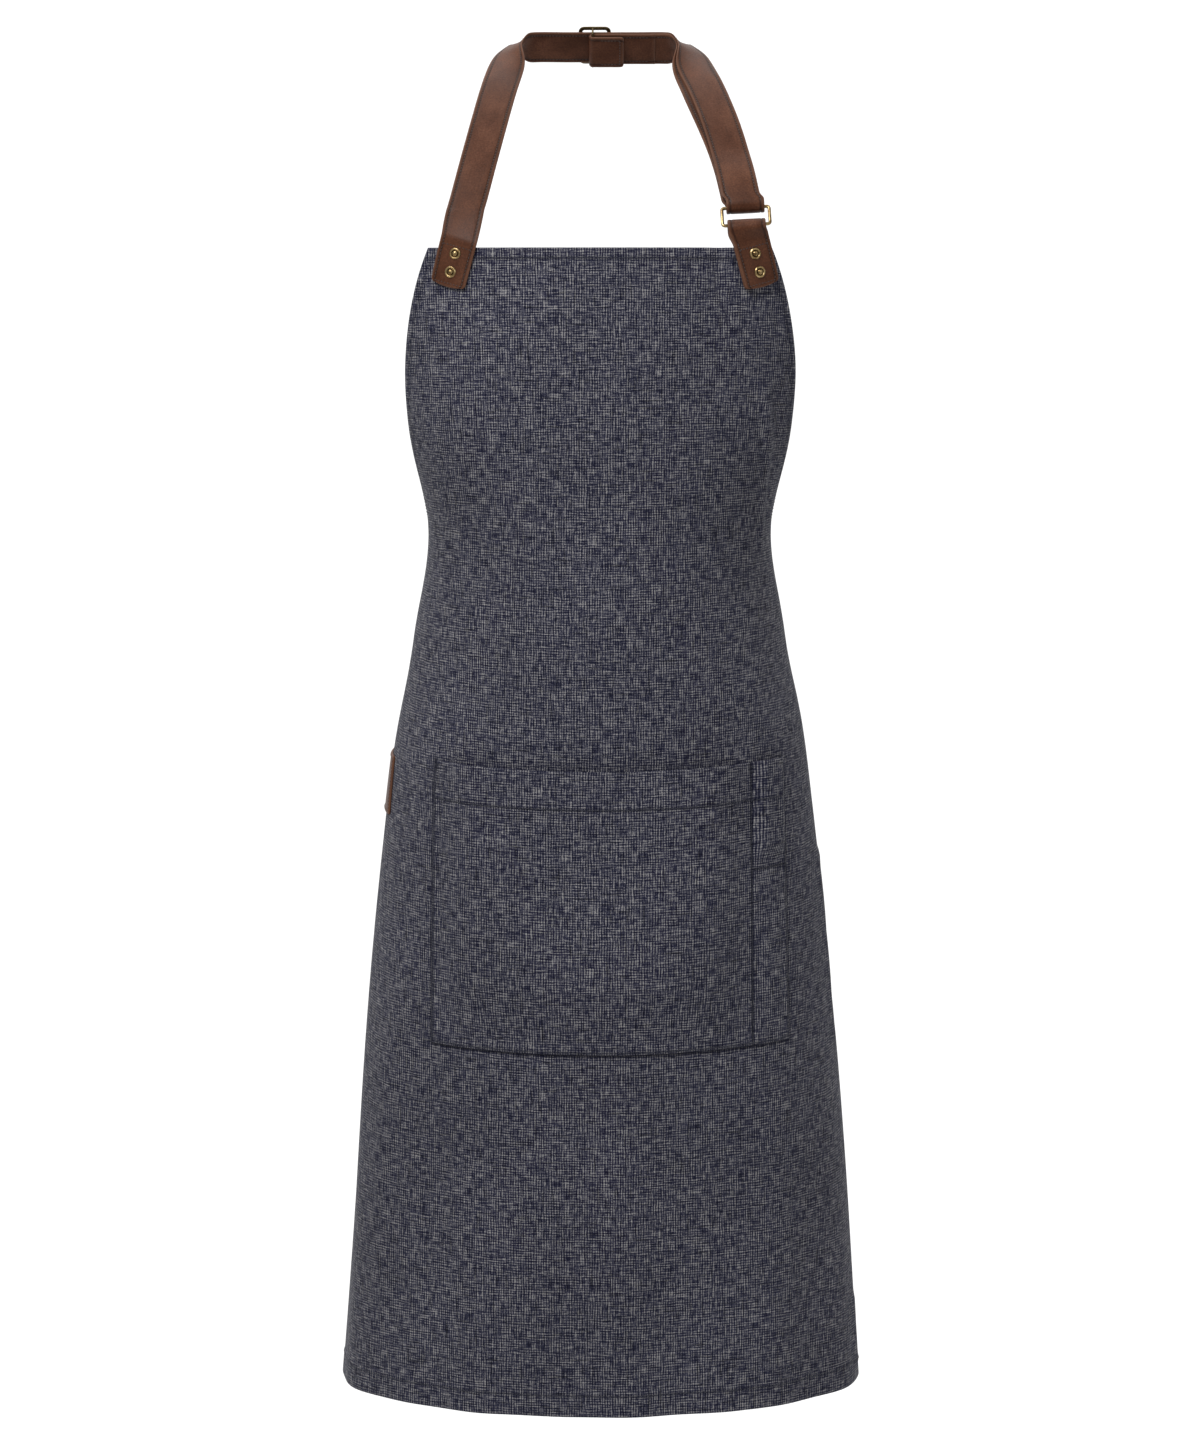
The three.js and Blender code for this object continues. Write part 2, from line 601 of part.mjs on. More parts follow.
function punched(geometry, seats) {
  const drill = RIVET.post + CLEAR;
  const pins = seats.map((seat) => solidOf(
    placed(new THREE.CylinderGeometry(drill, drill, 30, RIVET_SIDES), seat.point, seat.normal),
  ));
  return geometryOf(pins.reduce((rest, pin) => rest.subtract(pin), solidOf(geometry)));
}

// ---------------------------------------------------------------- waist ties
const TIE_V = CLOTH.armholeDepth + TIE.belowArmhole + TIE.width / 2;
const tieForm = formAt(TIE_V);
const tieZ = BIB_TOP_Z - TIE_V + sideRise(CLOTH.skirtHalf, TIE_V);
const backMiddle = vec(0, 2 * tieForm.deep - tieForm.front, tieZ);
const backHalf = (() => {
  let length = CLOTH.skirtHalf;
  while (angleAt(tieForm.across, tieForm.deep, length) < Math.PI) length += 1;
  return length;
})();
const TIE_FACE = PANEL_FACE + CLEAR + CURVED + TIE.thick / 2;

function tieGeometry(side) {
  const from = CLOTH.skirtHalf - TIE.sewn;
  const us = between(from, backHalf - KNOT.half, 8).map((u) => side * u);
  const vs = between(TIE_V - TIE.width / 2, TIE_V + TIE.width / 2, 2);
  return thickSheet(formGrid(us, vs), () => TIE_FACE - TIE.thick / 2, () => TIE_FACE + TIE.thick / 2);
}

const KNOT_STAND = 1.5; // the knot's middle lies this far behind the ties
const knotMiddle = backMiddle.clone().add(vec(0, TIE_FACE + KNOT_STAND, 0));

function knotGeometry() {
  const knot = new THREE.SphereGeometry(1, 16, 12);
  knot.scale(KNOT.half, KNOT.deep, KNOT.tall);
  return geometryOf(solidOf(knot)).translate(knotMiddle.x, knotMiddle.y, knotMiddle.z);
}

// A bow loop: out from the knot, round at its end and back, drooping with its own weight.
function bowLoopGeometry(side) {
  const start = 0.92 * KNOT.half + CLEAR;
  const across = vec(side * 0.16, 0.1, 1).normalize();
  const apart = TIE.thick / 2 + CLEAR; // from the loop's middle to each layer where it leaves the knot
  const stations = range(20).map((t) => {
    const reach = Math.sin(Math.PI * t);
    const lift = Math.cos(Math.PI * t) * (apart + BOW.open * reach);
    const place = vec(side * (start + reach * BOW.loop), BOW.stand + lift - reach * reach, -BOW.droop * reach * reach);
    return { point: knotMiddle.clone().add(place), across };
  });
  return ribbon(stations, TIE.width, TIE.thick);
}

function tieTailGeometry(side) {
  const width = TIE.width * TAIL.narrowing;
  const stations = range(14).map((t) => {
    const out = width / 2 + 0.6 + TAIL.spread * t + TAIL.wave * Math.sin(5 * t);
    const back = -0.6 - TAIL.sway * t + TAIL.sway * Math.sin(6 * t);
    const place = vec(side * out, back, 1.4 - KNOT.tall - TAIL.length * t);
    return { point: knotMiddle.clone().add(place), across: vec(1, 0, 0.12 * side).normalize() };
  });
  return ribbon(stations, width, TIE.thick);
}

// ---------------------------------------------------------------- assembly
const seatsOf = (side) => STRAP_END.rivetDrops.map((drop) => rivetSeat(side, drop));
const leftSeats = seatsOf(-1);
const rightSeats = seatsOf(1);

add('apron_panel', punched(panelGeometry(), [...leftSeats, ...rightSeats]), 'cloth');
add('main_pocket', pocketGeometry(), 'cloth');
add('hip_label', labelGeometry(), 'leather');
add('neck_strap', neckStrapGeometry(), 'leather');
add('strap_end_left', punched(leftEndGeometry(), leftSeats), 'leather');
add('ring_tab', punched(ringTabGeometry(), rightSeats), 'leather');
add('strap_ring', ringGeometry(), 'brass');
add('slider_buckle', sliderGeometry(), 'brass');
add('strap_loop_end', loopEndGeometry(), 'leather');
for (const [sideName, seats] of [['left', leftSeats], ['right', rightSeats]]) {
  seats.forEach((seat, i) => {
    const place = `${sideName}_${['upper', 'lower'][i]}`;
    add(`rivet_${place}`, rivetGeometry(seat), 'brass');
    add(`rivet_washer_${place}`, washerGeometry(seat), 'brass');
  });
}
for (const [sideName, side] of [['left', -1], ['right', 1]]) {
  add(`waist_tie_${sideName}`, tieGeometry(side), 'cloth');
  add(`bow_loop_${sideName}`, bowLoopGeometry(side), 'cloth');
  add(`tie_tail_${sideName}`, tieTailGeometry(side), 'cloth');
}
add('tie_knot', knotGeometry(), 'cloth');

export default apron;
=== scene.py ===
"""The looks of a butcher's bib apron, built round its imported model: an Oxford-weave cloth panel with a
divided pocket, a stitched leather neck strap with brass fittings, and waist ties bowed at the back.
The form is worked out in millimetres from the same driving dimensions as the part, and turned to metres
in mesh_object(). u runs across the flat cloth from its middle and v down it from the bib's top edge."""

import math

import bpy
import numpy as np
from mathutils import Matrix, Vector


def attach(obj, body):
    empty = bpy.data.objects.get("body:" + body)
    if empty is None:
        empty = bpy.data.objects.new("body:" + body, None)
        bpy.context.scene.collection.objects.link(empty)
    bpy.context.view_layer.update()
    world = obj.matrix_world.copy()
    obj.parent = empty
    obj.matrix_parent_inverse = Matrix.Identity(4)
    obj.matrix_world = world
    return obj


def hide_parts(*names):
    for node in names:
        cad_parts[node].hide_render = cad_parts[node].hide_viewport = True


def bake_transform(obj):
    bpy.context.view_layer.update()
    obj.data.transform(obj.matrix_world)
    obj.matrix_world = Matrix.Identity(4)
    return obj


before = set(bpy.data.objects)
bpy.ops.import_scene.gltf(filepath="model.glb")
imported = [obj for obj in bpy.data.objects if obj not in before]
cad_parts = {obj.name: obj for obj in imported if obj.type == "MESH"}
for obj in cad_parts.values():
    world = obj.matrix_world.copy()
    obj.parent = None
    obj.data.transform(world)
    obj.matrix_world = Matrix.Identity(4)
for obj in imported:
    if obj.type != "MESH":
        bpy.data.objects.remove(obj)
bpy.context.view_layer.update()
MM = 0.001

# ---------------------------------------------------------------- driving dimensions, as in the part
# Gaps: between pieces that touch, extra where a flat piece meets curved cloth, round the ring's wire inside
# a fold of leather, and where a fold bears on the wire.
CLEAR, CURVED, LOOSE, BEARING = 0.35, 0.25, 2.6, 0.85
CLOTH = dict(thick=1.6, length=867, top_half=129, skirt_half=335, armhole=265, flare=30, flare_length=120)
POCKET = dict(top=384, height=211, left=-133, divide=118, right=152, bulge=8, pen_bulge=7, pen_depth=80)
LABEL = dict(middle=-220, width=54, top=392, height=44, thick=1.4)
STRAP_WIDTH, STRAP_THICK = 28, 1.8
RISE, LEAN, FLAT_HALF = 153, math.radians(40), 50
END = dict(drop=29, start_x=105.5, slope=0.28, rivets=(4.5, 18))
FLEX = dict(rise=23, inward=5, back=2.5)
RING = dict(wire=2.4, side_room=2.25, height=17, lean=math.radians(3))
SLIDER = dict(middle=-4, length=23, bar=1.5, bar_x=-5.5, rail=2.2, edge_room=0.65, reach=18)
RIVET = dict(head=4.4, dome=1.7, post=1.5, washer=4.2, washer_thick=0.9)
TIE = dict(width=25, thick=1.4, sewn=24, below=3)
BOW = dict(loop=72, droop=34, open=8.5, stand=6.5)
TAIL = dict(length=185, narrowing=0.9, spread=24, wave=3, sway=2)
KNOT = dict(half=13, deep=9, tall=15)

BIB_Z = -RISE
HINGE_Z = BIB_Z + FLEX["rise"]
LAYER = STRAP_THICK + CLEAR
PANEL_FACE = CLOTH["thick"] / 2

# What only the looks need.
WEAVE_HALF = 0.45  # half the bare cloth's thickness; hems reach the part's full thickness
HEM = dict(top=8.5, side=6.5, bottom=17)
POCKET_HEM = 28
TOPSTITCH = 2.2  # from a sewn edge to its stitches
LEATHER_STITCH = 2.9  # the same on the leather
TIE_STITCH = 2.2  # and on the ties
CLOTH_SEWING = dict(pitch=3.1, length=2.3)
LEATHER_SEWING = dict(pitch=2.5, length=1.9)
CLOTH_THREAD, TIE_THREAD, LEATHER_THREAD = 0.3, 0.26, 0.36  # radii
LEATHER_SUNK, TIE_SUNK = 0.15, 0.1  # how far edge stitches lie into the groove under them


# ---------------------------------------------------------------- small helpers
def ease(t):
    t = np.clip(t, 0, 1)
    return t * t * (3 - 2 * t)


def unit(a):
    a = np.asarray(a, float)
    return a / np.maximum(np.linalg.norm(a, axis=-1, keepdims=True), 1e-12)


def vec(*a):
    return np.array(a, float)


def lerp(a, b, t):
    return a + (b - a) * t


def bell(distance, width):
    """1 at no distance, falling away smoothly over the width."""
    return np.exp(-((distance / width) ** 2))


def lengths_along(points):
    """The length along a line of points at each of them."""
    return np.concatenate([[0], np.cumsum(np.linalg.norm(np.diff(points, axis=0), axis=1))])


def read_along(places, lengths, values):
    """Each column of the values, read at places along a line."""
    return np.stack([np.interp(places, lengths, column) for column in values.T], -1)


def lifted(points, normals, lift):
    return points + normals * np.asarray(lift)[..., None]


# ---------------------------------------------------------------- the worn form
# Level half-ellipses: the drop below the bib's top edge, then half width, depth and front, these three in
# shares of the skirt's half width.
FORM = np.array([
    (0, 0.446, 0.125, 0.418),
    (70, 0.457, 0.21, 0.451),
    (130, 0.439, 0.255, 0.454),
    (215, 0.388, 0.3, 0.44),
    (300, 0.421, 0.32, 0.457),
    (400, 0.472, 0.335, 0.485),
    (600, 0.536, 0.365, 0.503),
    (CLOTH["length"], 0.597, 0.38, 0.527),
])


def form_at(drop):
    """Half width, depth and front at each drop: a smooth curve through the sections."""
    drop = np.asarray(drop, float)
    last = len(FORM) - 1
    k = np.clip(np.searchsorted(FORM[:, 0], drop, side="right") - 1, 0, last - 1)
    a, b = FORM[k], FORM[k + 1]
    before, after = FORM[np.maximum(k - 1, 0)], FORM[np.minimum(k + 2, last)]
    gap = (b[..., 0] - a[..., 0])[..., None]
    t = (drop[..., None] - a[..., :1]) / gap
    slope_a = (b - before) / (b - before)[..., :1] * gap
    slope_b = (after - a) / (after - a)[..., :1] * gap
    c = 3 * (b - a) - 2 * slope_a - slope_b
    d = 2 * (a - b) + slope_a + slope_b
    return (a + slope_a * t + c * t**2 + d * t**3)[..., 1:] * CLOTH["skirt_half"]


STEP_V, STEP_ARC, MOST_ARC = 2.0, 2.0, 600
TABLE_V = np.arange(-24, CLOTH["length"] + 24, STEP_V)


def angle_table():
    angles = np.linspace(0, math.pi, 721)
    middle = (angles[1:] + angles[:-1]) / 2
    lengths = np.arange(0, MOST_ARC, STEP_ARC)
    rows = []
    for across, deep, _ in form_at(TABLE_V):
        run = np.hypot(across * np.cos(middle), deep * np.sin(middle)) * (angles[1] - angles[0])
        rows.append(np.interp(lengths, np.concatenate([[0], np.cumsum(run)]), angles))
    return np.array(rows)


ANGLES = angle_table()
LIFT = dict(rise=26, start=40, over=300, fall_from=500, fall=0.95)


def side_rise(u, v):
    grow = ease((v - LIFT["start"]) / LIFT["over"])
    sink = LIFT["fall"] * ease((v - LIFT["fall_from"]) / (CLOTH["length"] - LIFT["fall_from"]))
    return LIFT["rise"] * grow * (1 - sink) * (u / CLOTH["skirt_half"]) ** 2


def form_point(u, v):
    u, v = np.broadcast_arrays(np.asarray(u, float), np.asarray(v, float))
    row = np.clip((v - TABLE_V[0]) / STEP_V, 0, len(TABLE_V) - 1.001)
    col = np.clip(np.abs(u) / STEP_ARC, 0, ANGLES.shape[1] - 1.001)
    i, j = row.astype(int), col.astype(int)
    a = lerp(ANGLES[i, j], ANGLES[i, j + 1], col - j)
    b = lerp(ANGLES[i + 1, j], ANGLES[i + 1, j + 1], col - j)
    angle = lerp(a, b, row - i)
    across, deep, front = np.moveaxis(form_at(v), -1, 0)
    x = np.sign(u) * across * np.sin(angle)
    return np.stack([x, deep * (1 - np.cos(angle)) - front, BIB_Z - v + side_rise(u, v)], -1)


def form_normal(u, v, step=1.0):
    """The direction that faces away from the wearer."""
    across = form_point(u + step, v) - form_point(u - step, v)
    down = form_point(u, v + step) - form_point(u, v - step)
    return unit(np.cross(down, across))


def line_distance(u, v, points):
    """Distance on the flat cloth from each (u, v) to a line through the points."""
    best = np.full(np.shape(u), 1e9)
    for (ua, va), (ub, vb) in zip(points[:-1], points[1:]):
        du, dv = ub - ua, vb - va
        t = np.clip(((u - ua) * du + (v - va) * dv) / (du * du + dv * dv), 0, 1)
        best = np.minimum(best, np.hypot(u - ua - t * du, v - va - t * dv))
    return best


# Creases that a hand has left in the cloth: their line, their half width and how far they stand out.
CREASES = [
    ([(128, 105), (136, 140), (138, 165), (140, 195), (141, 225)], 5, 1.7),
    ([(140, 110), (147, 150), (150, 200)], 7, -1.5),
    ([(88, -5), (88, 22), (92, 44)], 6, -1.5),
    ([(210, 470), (216, 540), (222, 606)], 6, 2.4),
    ([(222, 480), (230, 600)], 9, -1.6),
    ([(238, 806), (240, 850)], 7, 2.0),
    ([(-28, 68), (-4, 75)], 10, -1.0),
    ([(-96, 196), (-82, 262), (-92, 330)], 11, -1.1),
    ([(60, 240), (84, 300)], 12, 1.0),
    ([(-180, 610), (-186, 820)], 14, 1.8),
    ([(-64, 660), (-58, 850)], 20, 1.5),
    ([(70, 640), (78, 850)], 22, -1.4),
]


def folds(u, v):
    """How far the cloth stands off the smooth form, in millimetres."""
    out = np.zeros(np.broadcast(u, v).shape)
    for points, width, height in CREASES:
        out = out + height * bell(line_distance(u, v, points), width)
    skirt = ease((v - 420) / 400)
    out = out + 1.3 * skirt * np.sin(u / 17 + 0.7 * np.sin(v / 120) + 0.4)
    out = out + 0.8 * skirt * np.sin(u / 9.5 - v / 260 + 2.1)
    bib = ease((v - 40) / 60) * (1 - ease((v - 330) / 60))
    out = out + 0.55 * bib * np.sin(u / 21 + v / 95) + 0.35 * bib * np.sin(v / 24 - u / 60 + 1)
    # The ties pull short fans of folds into the waist corners.
    away = np.hypot(np.abs(u) - CLOTH["skirt_half"], v - CLOTH["armhole"] - 16)
    turn = np.arctan2(v - CLOTH["armhole"] - 16, CLOTH["skirt_half"] - np.abs(u) + 1e-6)
    pull = np.exp(-away / 70) * (1 - np.exp(-((away / 26) ** 2)))
    return out + 2.6 * pull * np.cos(9 * turn + np.sign(u) * 0.7)


def panel_half(v):
    run = 1 - np.maximum(1 - v / CLOTH["flare_length"], 0) ** 2
    hollow = 1 - np.cbrt(1 - np.minimum(v / CLOTH["armhole"], 1) ** 3)
    return CLOTH["top_half"] + CLOTH["flare"] * run + (
        CLOTH["skirt_half"] - CLOTH["top_half"] - CLOTH["flare"]) * hollow


def armhole_line(count=90):
    v = CLOTH["armhole"] * np.sin(np.linspace(0, math.pi / 2, count))
    return np.stack([panel_half(v), v], -1)


SIDE_LINE = np.vstack([armhole_line(), [[CLOTH["skirt_half"], CLOTH["length"]]]])


def hem_share(u, v):
    """1 where the cloth is turned double along its edges, 0 elsewhere."""
    side = line_distance(np.abs(u), v, SIDE_LINE)
    inside = [v - HEM["top"], side - HEM["side"], CLOTH["length"] - v - HEM["bottom"]]
    return np.max([1 - ease(d / 1.4) for d in inside], axis=0)


def edge_round(distance, radius):
    return np.sqrt(np.clip(1 - (1 - np.minimum(distance / radius, 1)) ** 2, 0.09, 1))


def panel_half_thick(u, v):
    side = np.minimum(line_distance(np.abs(u), v, SIDE_LINE), np.minimum(v, CLOTH["length"] - v))
    return (WEAVE_HALF + (PANEL_FACE - WEAVE_HALF) * hem_share(u, v)) * edge_round(np.maximum(side, 0), 0.9)


def panel_face(u, v):
    """A point on the panel's outer face, and its direction."""
    normal = form_normal(u, v)
    lift = folds(u, v) + WEAVE_HALF + (PANEL_FACE - WEAVE_HALF) * hem_share(u, v)
    return lifted(form_point(u, v), normal, lift), normal


# ---------------------------------------------------------------- pocket form
def hump(t, margin):
    return ease(np.minimum(t, 1 - t) / margin)


POCKET_FLAT, WIDE_MARGIN, PEN_MARGIN = 0.72, 0.16, 0.3
POCKET_SEAT = PANEL_FACE - 0.1
POCKET_THICK = 0.95


def pocket_stand(u, v):
    """How far the pocket's inner face stands off the panel's middle."""
    wide = u < POCKET["divide"]
    depth = np.where(wide, POCKET["height"], POCKET["pen_depth"])
    sink = 1 - ease(((v - POCKET["top"]) / depth - POCKET_FLAT) / (1 - POCKET_FLAT))
    across = (u - POCKET["left"]) / (POCKET["divide"] - POCKET["left"])
    narrow = (u - POCKET["divide"]) / (POCKET["right"] - POCKET["divide"])
    wide_bulge = POCKET["bulge"] * hump(across, WIDE_MARGIN)
    bulge = np.where(wide, wide_bulge, POCKET["pen_bulge"] * hump(narrow, PEN_MARGIN))
    # Below its own seam the narrow strip lies nearly flat, with a little ease of its own.
    below = (v - POCKET["top"] - POCKET["pen_depth"]) / (POCKET["height"] - POCKET["pen_depth"])
    loose = np.where(wide, 0, 1.6 * hump(narrow, 0.4) * hump(below, 0.12))
    mouth = np.exp(-(v - POCKET["top"]) / 26)
    wave = np.where(wide, 0.9 * np.sin(u / 19 + 0.8) * hump(across, 0.2), 0) * mouth
    return POCKET_SEAT + bulge * sink + loose + wave


def pocket_edge(u, v):
    sides = np.minimum(u - POCKET["left"], POCKET["right"] - u)
    ends = np.minimum(v - POCKET["top"], POCKET["top"] + POCKET["height"] - v)
    return np.maximum(np.minimum(sides, ends), 0)


def pocket_thick(u, v):
    turned = 1 - ease((pocket_edge(u, v) - 4.5) / 1.4)
    hem = 1 - ease((v - POCKET["top"] - POCKET_HEM) / 1.4)
    return POCKET_THICK + 0.55 * np.maximum(turned, hem)


def pocket_face(u, v):
    normal = form_normal(u, v)
    lift = folds(u, v) + pocket_stand(u, v) + pocket_thick(u, v)
    return lifted(form_point(u, v), normal, lift), normal


# ---------------------------------------------------------------- mesh making
def mesh_object(name, points, faces, uvs, marks=None):
    """A smooth mesh from points and uvs in millimetres, with named values from 0 to 1 at its points."""
    mesh = bpy.data.meshes.new(name)
    mesh.from_pydata((np.asarray(points, float) * MM).tolist(), [], [list(map(int, f)) for f in faces])
    corner = np.zeros(len(mesh.loops), np.int32)
    mesh.loops.foreach_get("vertex_index", corner)
    layer = mesh.uv_layers.new(name="UVMap")
    layer.data.foreach_set("uv", (np.asarray(uvs, float)[corner] * MM).astype(np.float32).ravel())
    for mark, values in (marks or {}).items():
        attribute = mesh.attributes.new(mark, "FLOAT", "POINT")
        attribute.data.foreach_set("value", np.asarray(values, np.float32).ravel())
    mesh.shade_smooth()
    mesh.validate()
    made = bpy.data.objects.new(name, mesh)
    bpy.context.scene.collection.objects.link(made)
    return made


def grid_faces(rows, cols, start=0, wrap=False):
    """Quads of a grid of points, wrapped round across its columns if asked."""
    i, j = np.meshgrid(np.arange(rows - 1), np.arange(cols if wrap else cols - 1), indexing="ij")
    right = (j + 1) % cols
    quads = np.stack([i * cols + j, (i + 1) * cols + j, (i + 1) * cols + right, i * cols + right], -1)
    return quads.reshape(-1, 4) + start


def signed_volume(points, faces):
    a, b, c = points[faces[:, 0]], points[faces[:, 1]], points[faces[:, 2]]
    total = np.einsum("ij,ij->", a, np.cross(b, c))
    d = points[faces[:, 3]]
    return total + np.einsum("ij,ij->", a, np.cross(c, d))


def facing_out(points, faces):
    return faces[:, ::-1] if signed_volume(points, faces) < 0 else faces


def tube_faces(rows, cols):
    """Quads round an open tube of points, and a cap at each end."""
    last = rows * cols
    caps = [tuple(range(cols))[::-1], tuple(range(last - cols, last))]
    return [tuple(f) for f in grid_faces(rows, cols, wrap=True)] + caps


def paired(a, b):
    """Two values for each point, such as its uv."""
    return np.stack(np.broadcast_arrays(a, b), -1).reshape(-1, 2)


def closed_sheet(name, outer, inner, uv, marks=None):
    """A closed sheet between two grids of points, facing outward."""
    rows, cols = outer.shape[:2]
    count = rows * cols
    points = np.concatenate([outer.reshape(-1, 3), inner.reshape(-1, 3)])
    faces = [grid_faces(rows, cols), grid_faces(rows, cols, count)[:, ::-1]]
    ids = np.arange(count).reshape(rows, cols)
    for edge in (ids[:, 0], ids[-1, :], ids[::-1, -1], ids[0, ::-1]):
        faces.append(np.stack([edge[:-1], edge[:-1] + count, edge[1:] + count, edge[1:]], -1))
    faces = facing_out(points, np.vstack(faces))
    doubled = {k: np.tile(np.ravel(m), 2) for k, m in (marks or {}).items()}
    return mesh_object(name, points, faces, np.tile(uv.reshape(-1, 2), (2, 1)), doubled)


# A stitch's five rings along it: place, thickness and lift, the last two in shares of the thread's radius.
STITCH_RINGS = np.array([
    (0, 0.35, -0.9),
    (0.16, 0.85, 0.0),
    (0.5, 1.0, 0.45),
    (0.84, 0.85, 0.0),
    (1, 0.35, -0.9),
])
STITCH_SIDES = 6


def stitch_arrays(starts, ends, normals, radius):
    starts, ends, normals = (np.asarray(a, float) for a in (starts, ends, normals))
    along = unit(ends - starts)
    side = unit(np.cross(along, normals))
    up = np.cross(side, along)
    angle = np.arange(STITCH_SIDES) * 2 * math.pi / STITCH_SIDES
    ring = np.cos(angle)[:, None, None] * side + np.sin(angle)[:, None, None] * up
    rings = []
    for place, thick, lift in STITCH_RINGS:
        middle = starts + (ends - starts) * place + up * lift * radius
        rings.append(middle + ring * thick * radius)
    return np.moveaxis(np.array(rings), 2, 0).reshape(-1, 3), len(starts)


def stitches(name, rows, radius):
    """Sewn thread: each row is (starts, ends, normals), and each stitch a short closed capsule."""
    starts, ends, normals = (np.concatenate([np.asarray(r[k]) for r in rows]) for k in range(3))
    points, count = stitch_arrays(starts, ends, normals, radius)
    rings = len(STITCH_RINGS)
    block = rings * STITCH_SIDES
    tube = grid_faces(rings, STITCH_SIDES, wrap=True)
    cap = np.arange(STITCH_SIDES)
    one = [tuple(q) for q in tube[:, ::-1]] + [tuple(cap), tuple(cap[::-1] + block - STITCH_SIDES)]
    faces = [tuple(k * block + i for i in f) for k in range(count) for f in one]
    return mesh_object(name, points, faces, points[:, :2] + points[:, 2:])


def along_flat(points, pitch, length):
    """Start and end places of stitches along a line on the flat cloth."""
    points = np.asarray(points, float)
    run = lengths_along(points)
    starts = np.arange(pitch / 2, run[-1] - length, pitch)
    return [read_along(places, run, points) for places in (starts, starts + length)]


def sewn_line(face, points, sewing=CLOTH_SEWING):
    a, b = along_flat(points, **sewing)
    start, normal = face(a[:, 0], a[:, 1])
    end, _ = face(b[:, 0], b[:, 1])
    return start, end, normal


# ---------------------------------------------------------------- strips of leather or cloth along a run
class Run:
    """A strip's middle line: points and the directions over its width, by length along it."""

    def __init__(self, points, across, smoothing=0):
        points, across = np.asarray(points, float), unit(across)
        if smoothing:
            place = lengths_along(points)
            even = np.linspace(0, place[-1], int(place[-1]) + 2)
            points, across = (read_along(even, place, values) for values in (points, across))
        for _ in range(smoothing):
            points[1:-1] = (points[:-2] + 2 * points[1:-1] + points[2:]) / 4
            across[1:-1] = (across[:-2] + 2 * across[1:-1] + across[2:]) / 4
        self.place = lengths_along(points)
        self.length = self.place[-1]
        self.points, self.across = points, unit(across)
        tangent = np.gradient(points, self.place, axis=0)
        self.normals = unit(np.cross(tangent, self.across))

    def at(self, place):
        """Point, direction over the width and normal at each length along the run."""
        point, across, normal = (
            read_along(place, self.place, values) for values in (self.points, self.across, self.normals))
        return point, unit(across), unit(normal)


END_STEPS = np.array([0, 0.12, 0.4, 0.9, 1.6])  # close rows that round a strip's ends
BOW_LENGTH = 14  # how far from its end a strip's bowed end starts


def strip(name, run, width, thick, step, edge_in, groove, crown, ends=(0, 0), bows=(0, 0)):
    """A closed strip with rounded edges along a run. edge_in is the place of its edge stitches and groove
    the depth of the sunk line under them, crown swells its middle, ends are the corner radii at its two
    ends, and bows how far each end curves out."""
    half = width / 2
    rim = thick * 0.55
    line = half - edge_in
    inside = np.linspace(-line + 1.3, line - 1.3, 9)
    right = np.array([line - 0.6, line, line + 0.6, half - rim, half - rim * 0.4, half - rim * 0.1, half])
    across = np.concatenate([-right[::-1], inside, right])
    count = max(int(run.length / step), 8)
    places = np.unique(np.concatenate([
        np.linspace(0, run.length, count),
        run.length - END_STEPS,
        END_STEPS,
    ]))
    place, side = np.meshgrid(places, across, indexing="ij")
    from_start, from_end = place, run.length - place
    shrink = np.zeros_like(place)
    for gap, radius in ((from_start, ends[0]), (from_end, ends[1])):
        if radius:
            inward = np.maximum(radius - gap, 0)
            shrink = shrink + radius - np.sqrt(np.maximum(radius**2 - inward**2, 0))
    bow = bows[0] * ease(1 - from_start / BOW_LENGTH) - bows[1] * ease(1 - from_end / BOW_LENGTH)
    bent = place + (side / half) ** 2 * bow
    middle, direction, normal = run.at(bent)
    reach = side * (1 - shrink / half)
    near_edge = np.minimum(half - np.abs(side), np.minimum(from_start, from_end))
    body = thick / 2 * edge_round(near_edge, rim)
    sunk = groove * bell(np.abs(side) - line, 0.55)
    swell = crown * (1 - (side / half) ** 2)
    base = middle + direction * reach[..., None]
    outer = lifted(base, normal, body - sunk + swell)
    inner = lifted(base, -normal, body - sunk + swell * 0.3)
    # Marks: the edges, which the leather lightens partly as rubbed wear and partly as a painted highlight;
    # and the stitch lines, darkened partly as the stitches' dark line and partly as painted shade in their
    # groove.
    marks = {"wear_and_highlight": bell(near_edge, 1.1), "seam_line_and_shade": 0.8 * bell(np.abs(side) - line, 0.8)}
    return closed_sheet(name, outer, inner, np.stack([side, place], -1), marks)


def edge_stitches(run, width, stand, edge_in, sewing, start, stop):
    """Rows of stitches along both edges of a strip, on both faces, from one length along it to another."""
    rows = []
    places = np.arange(start + 1, stop - sewing["length"], sewing["pitch"])
    first, last = run.at(places), run.at(places + sewing["length"])
    for edge in (-1, 1):
        for face in (1, -1):
            offset, lift = edge * (width / 2 - edge_in), face * stand
            a, b = (middle + across * offset + normal * lift for middle, across, normal in (first, last))
            rows.append((a, b, face * first[2]))
    return rows


def leather_edge_stitches(run, start, stop):
    stand = STRAP_THICK / 2 - LEATHER_SUNK
    return edge_stitches(run, STRAP_WIDTH, stand, LEATHER_STITCH, LEATHER_SEWING, start, stop)


def leather_cross_stitches(run, place, faces=(1, -1)):
    """Rows of stitches straight over a leather strip's width, on one face or both."""
    length = LEATHER_SEWING["length"]
    half = STRAP_WIDTH / 2 - LEATHER_STITCH
    middle, across, normal = run.at(np.array([place]))
    offsets = np.arange(-half, half - length * 0.6, LEATHER_SEWING["pitch"])[:, None]
    rows = []
    for face in faces:
        start = middle + across * offsets + normal * face * STRAP_THICK / 2
        rows.append((start, start + across * length, np.repeat(face * normal, len(offsets), 0)))
    return rows


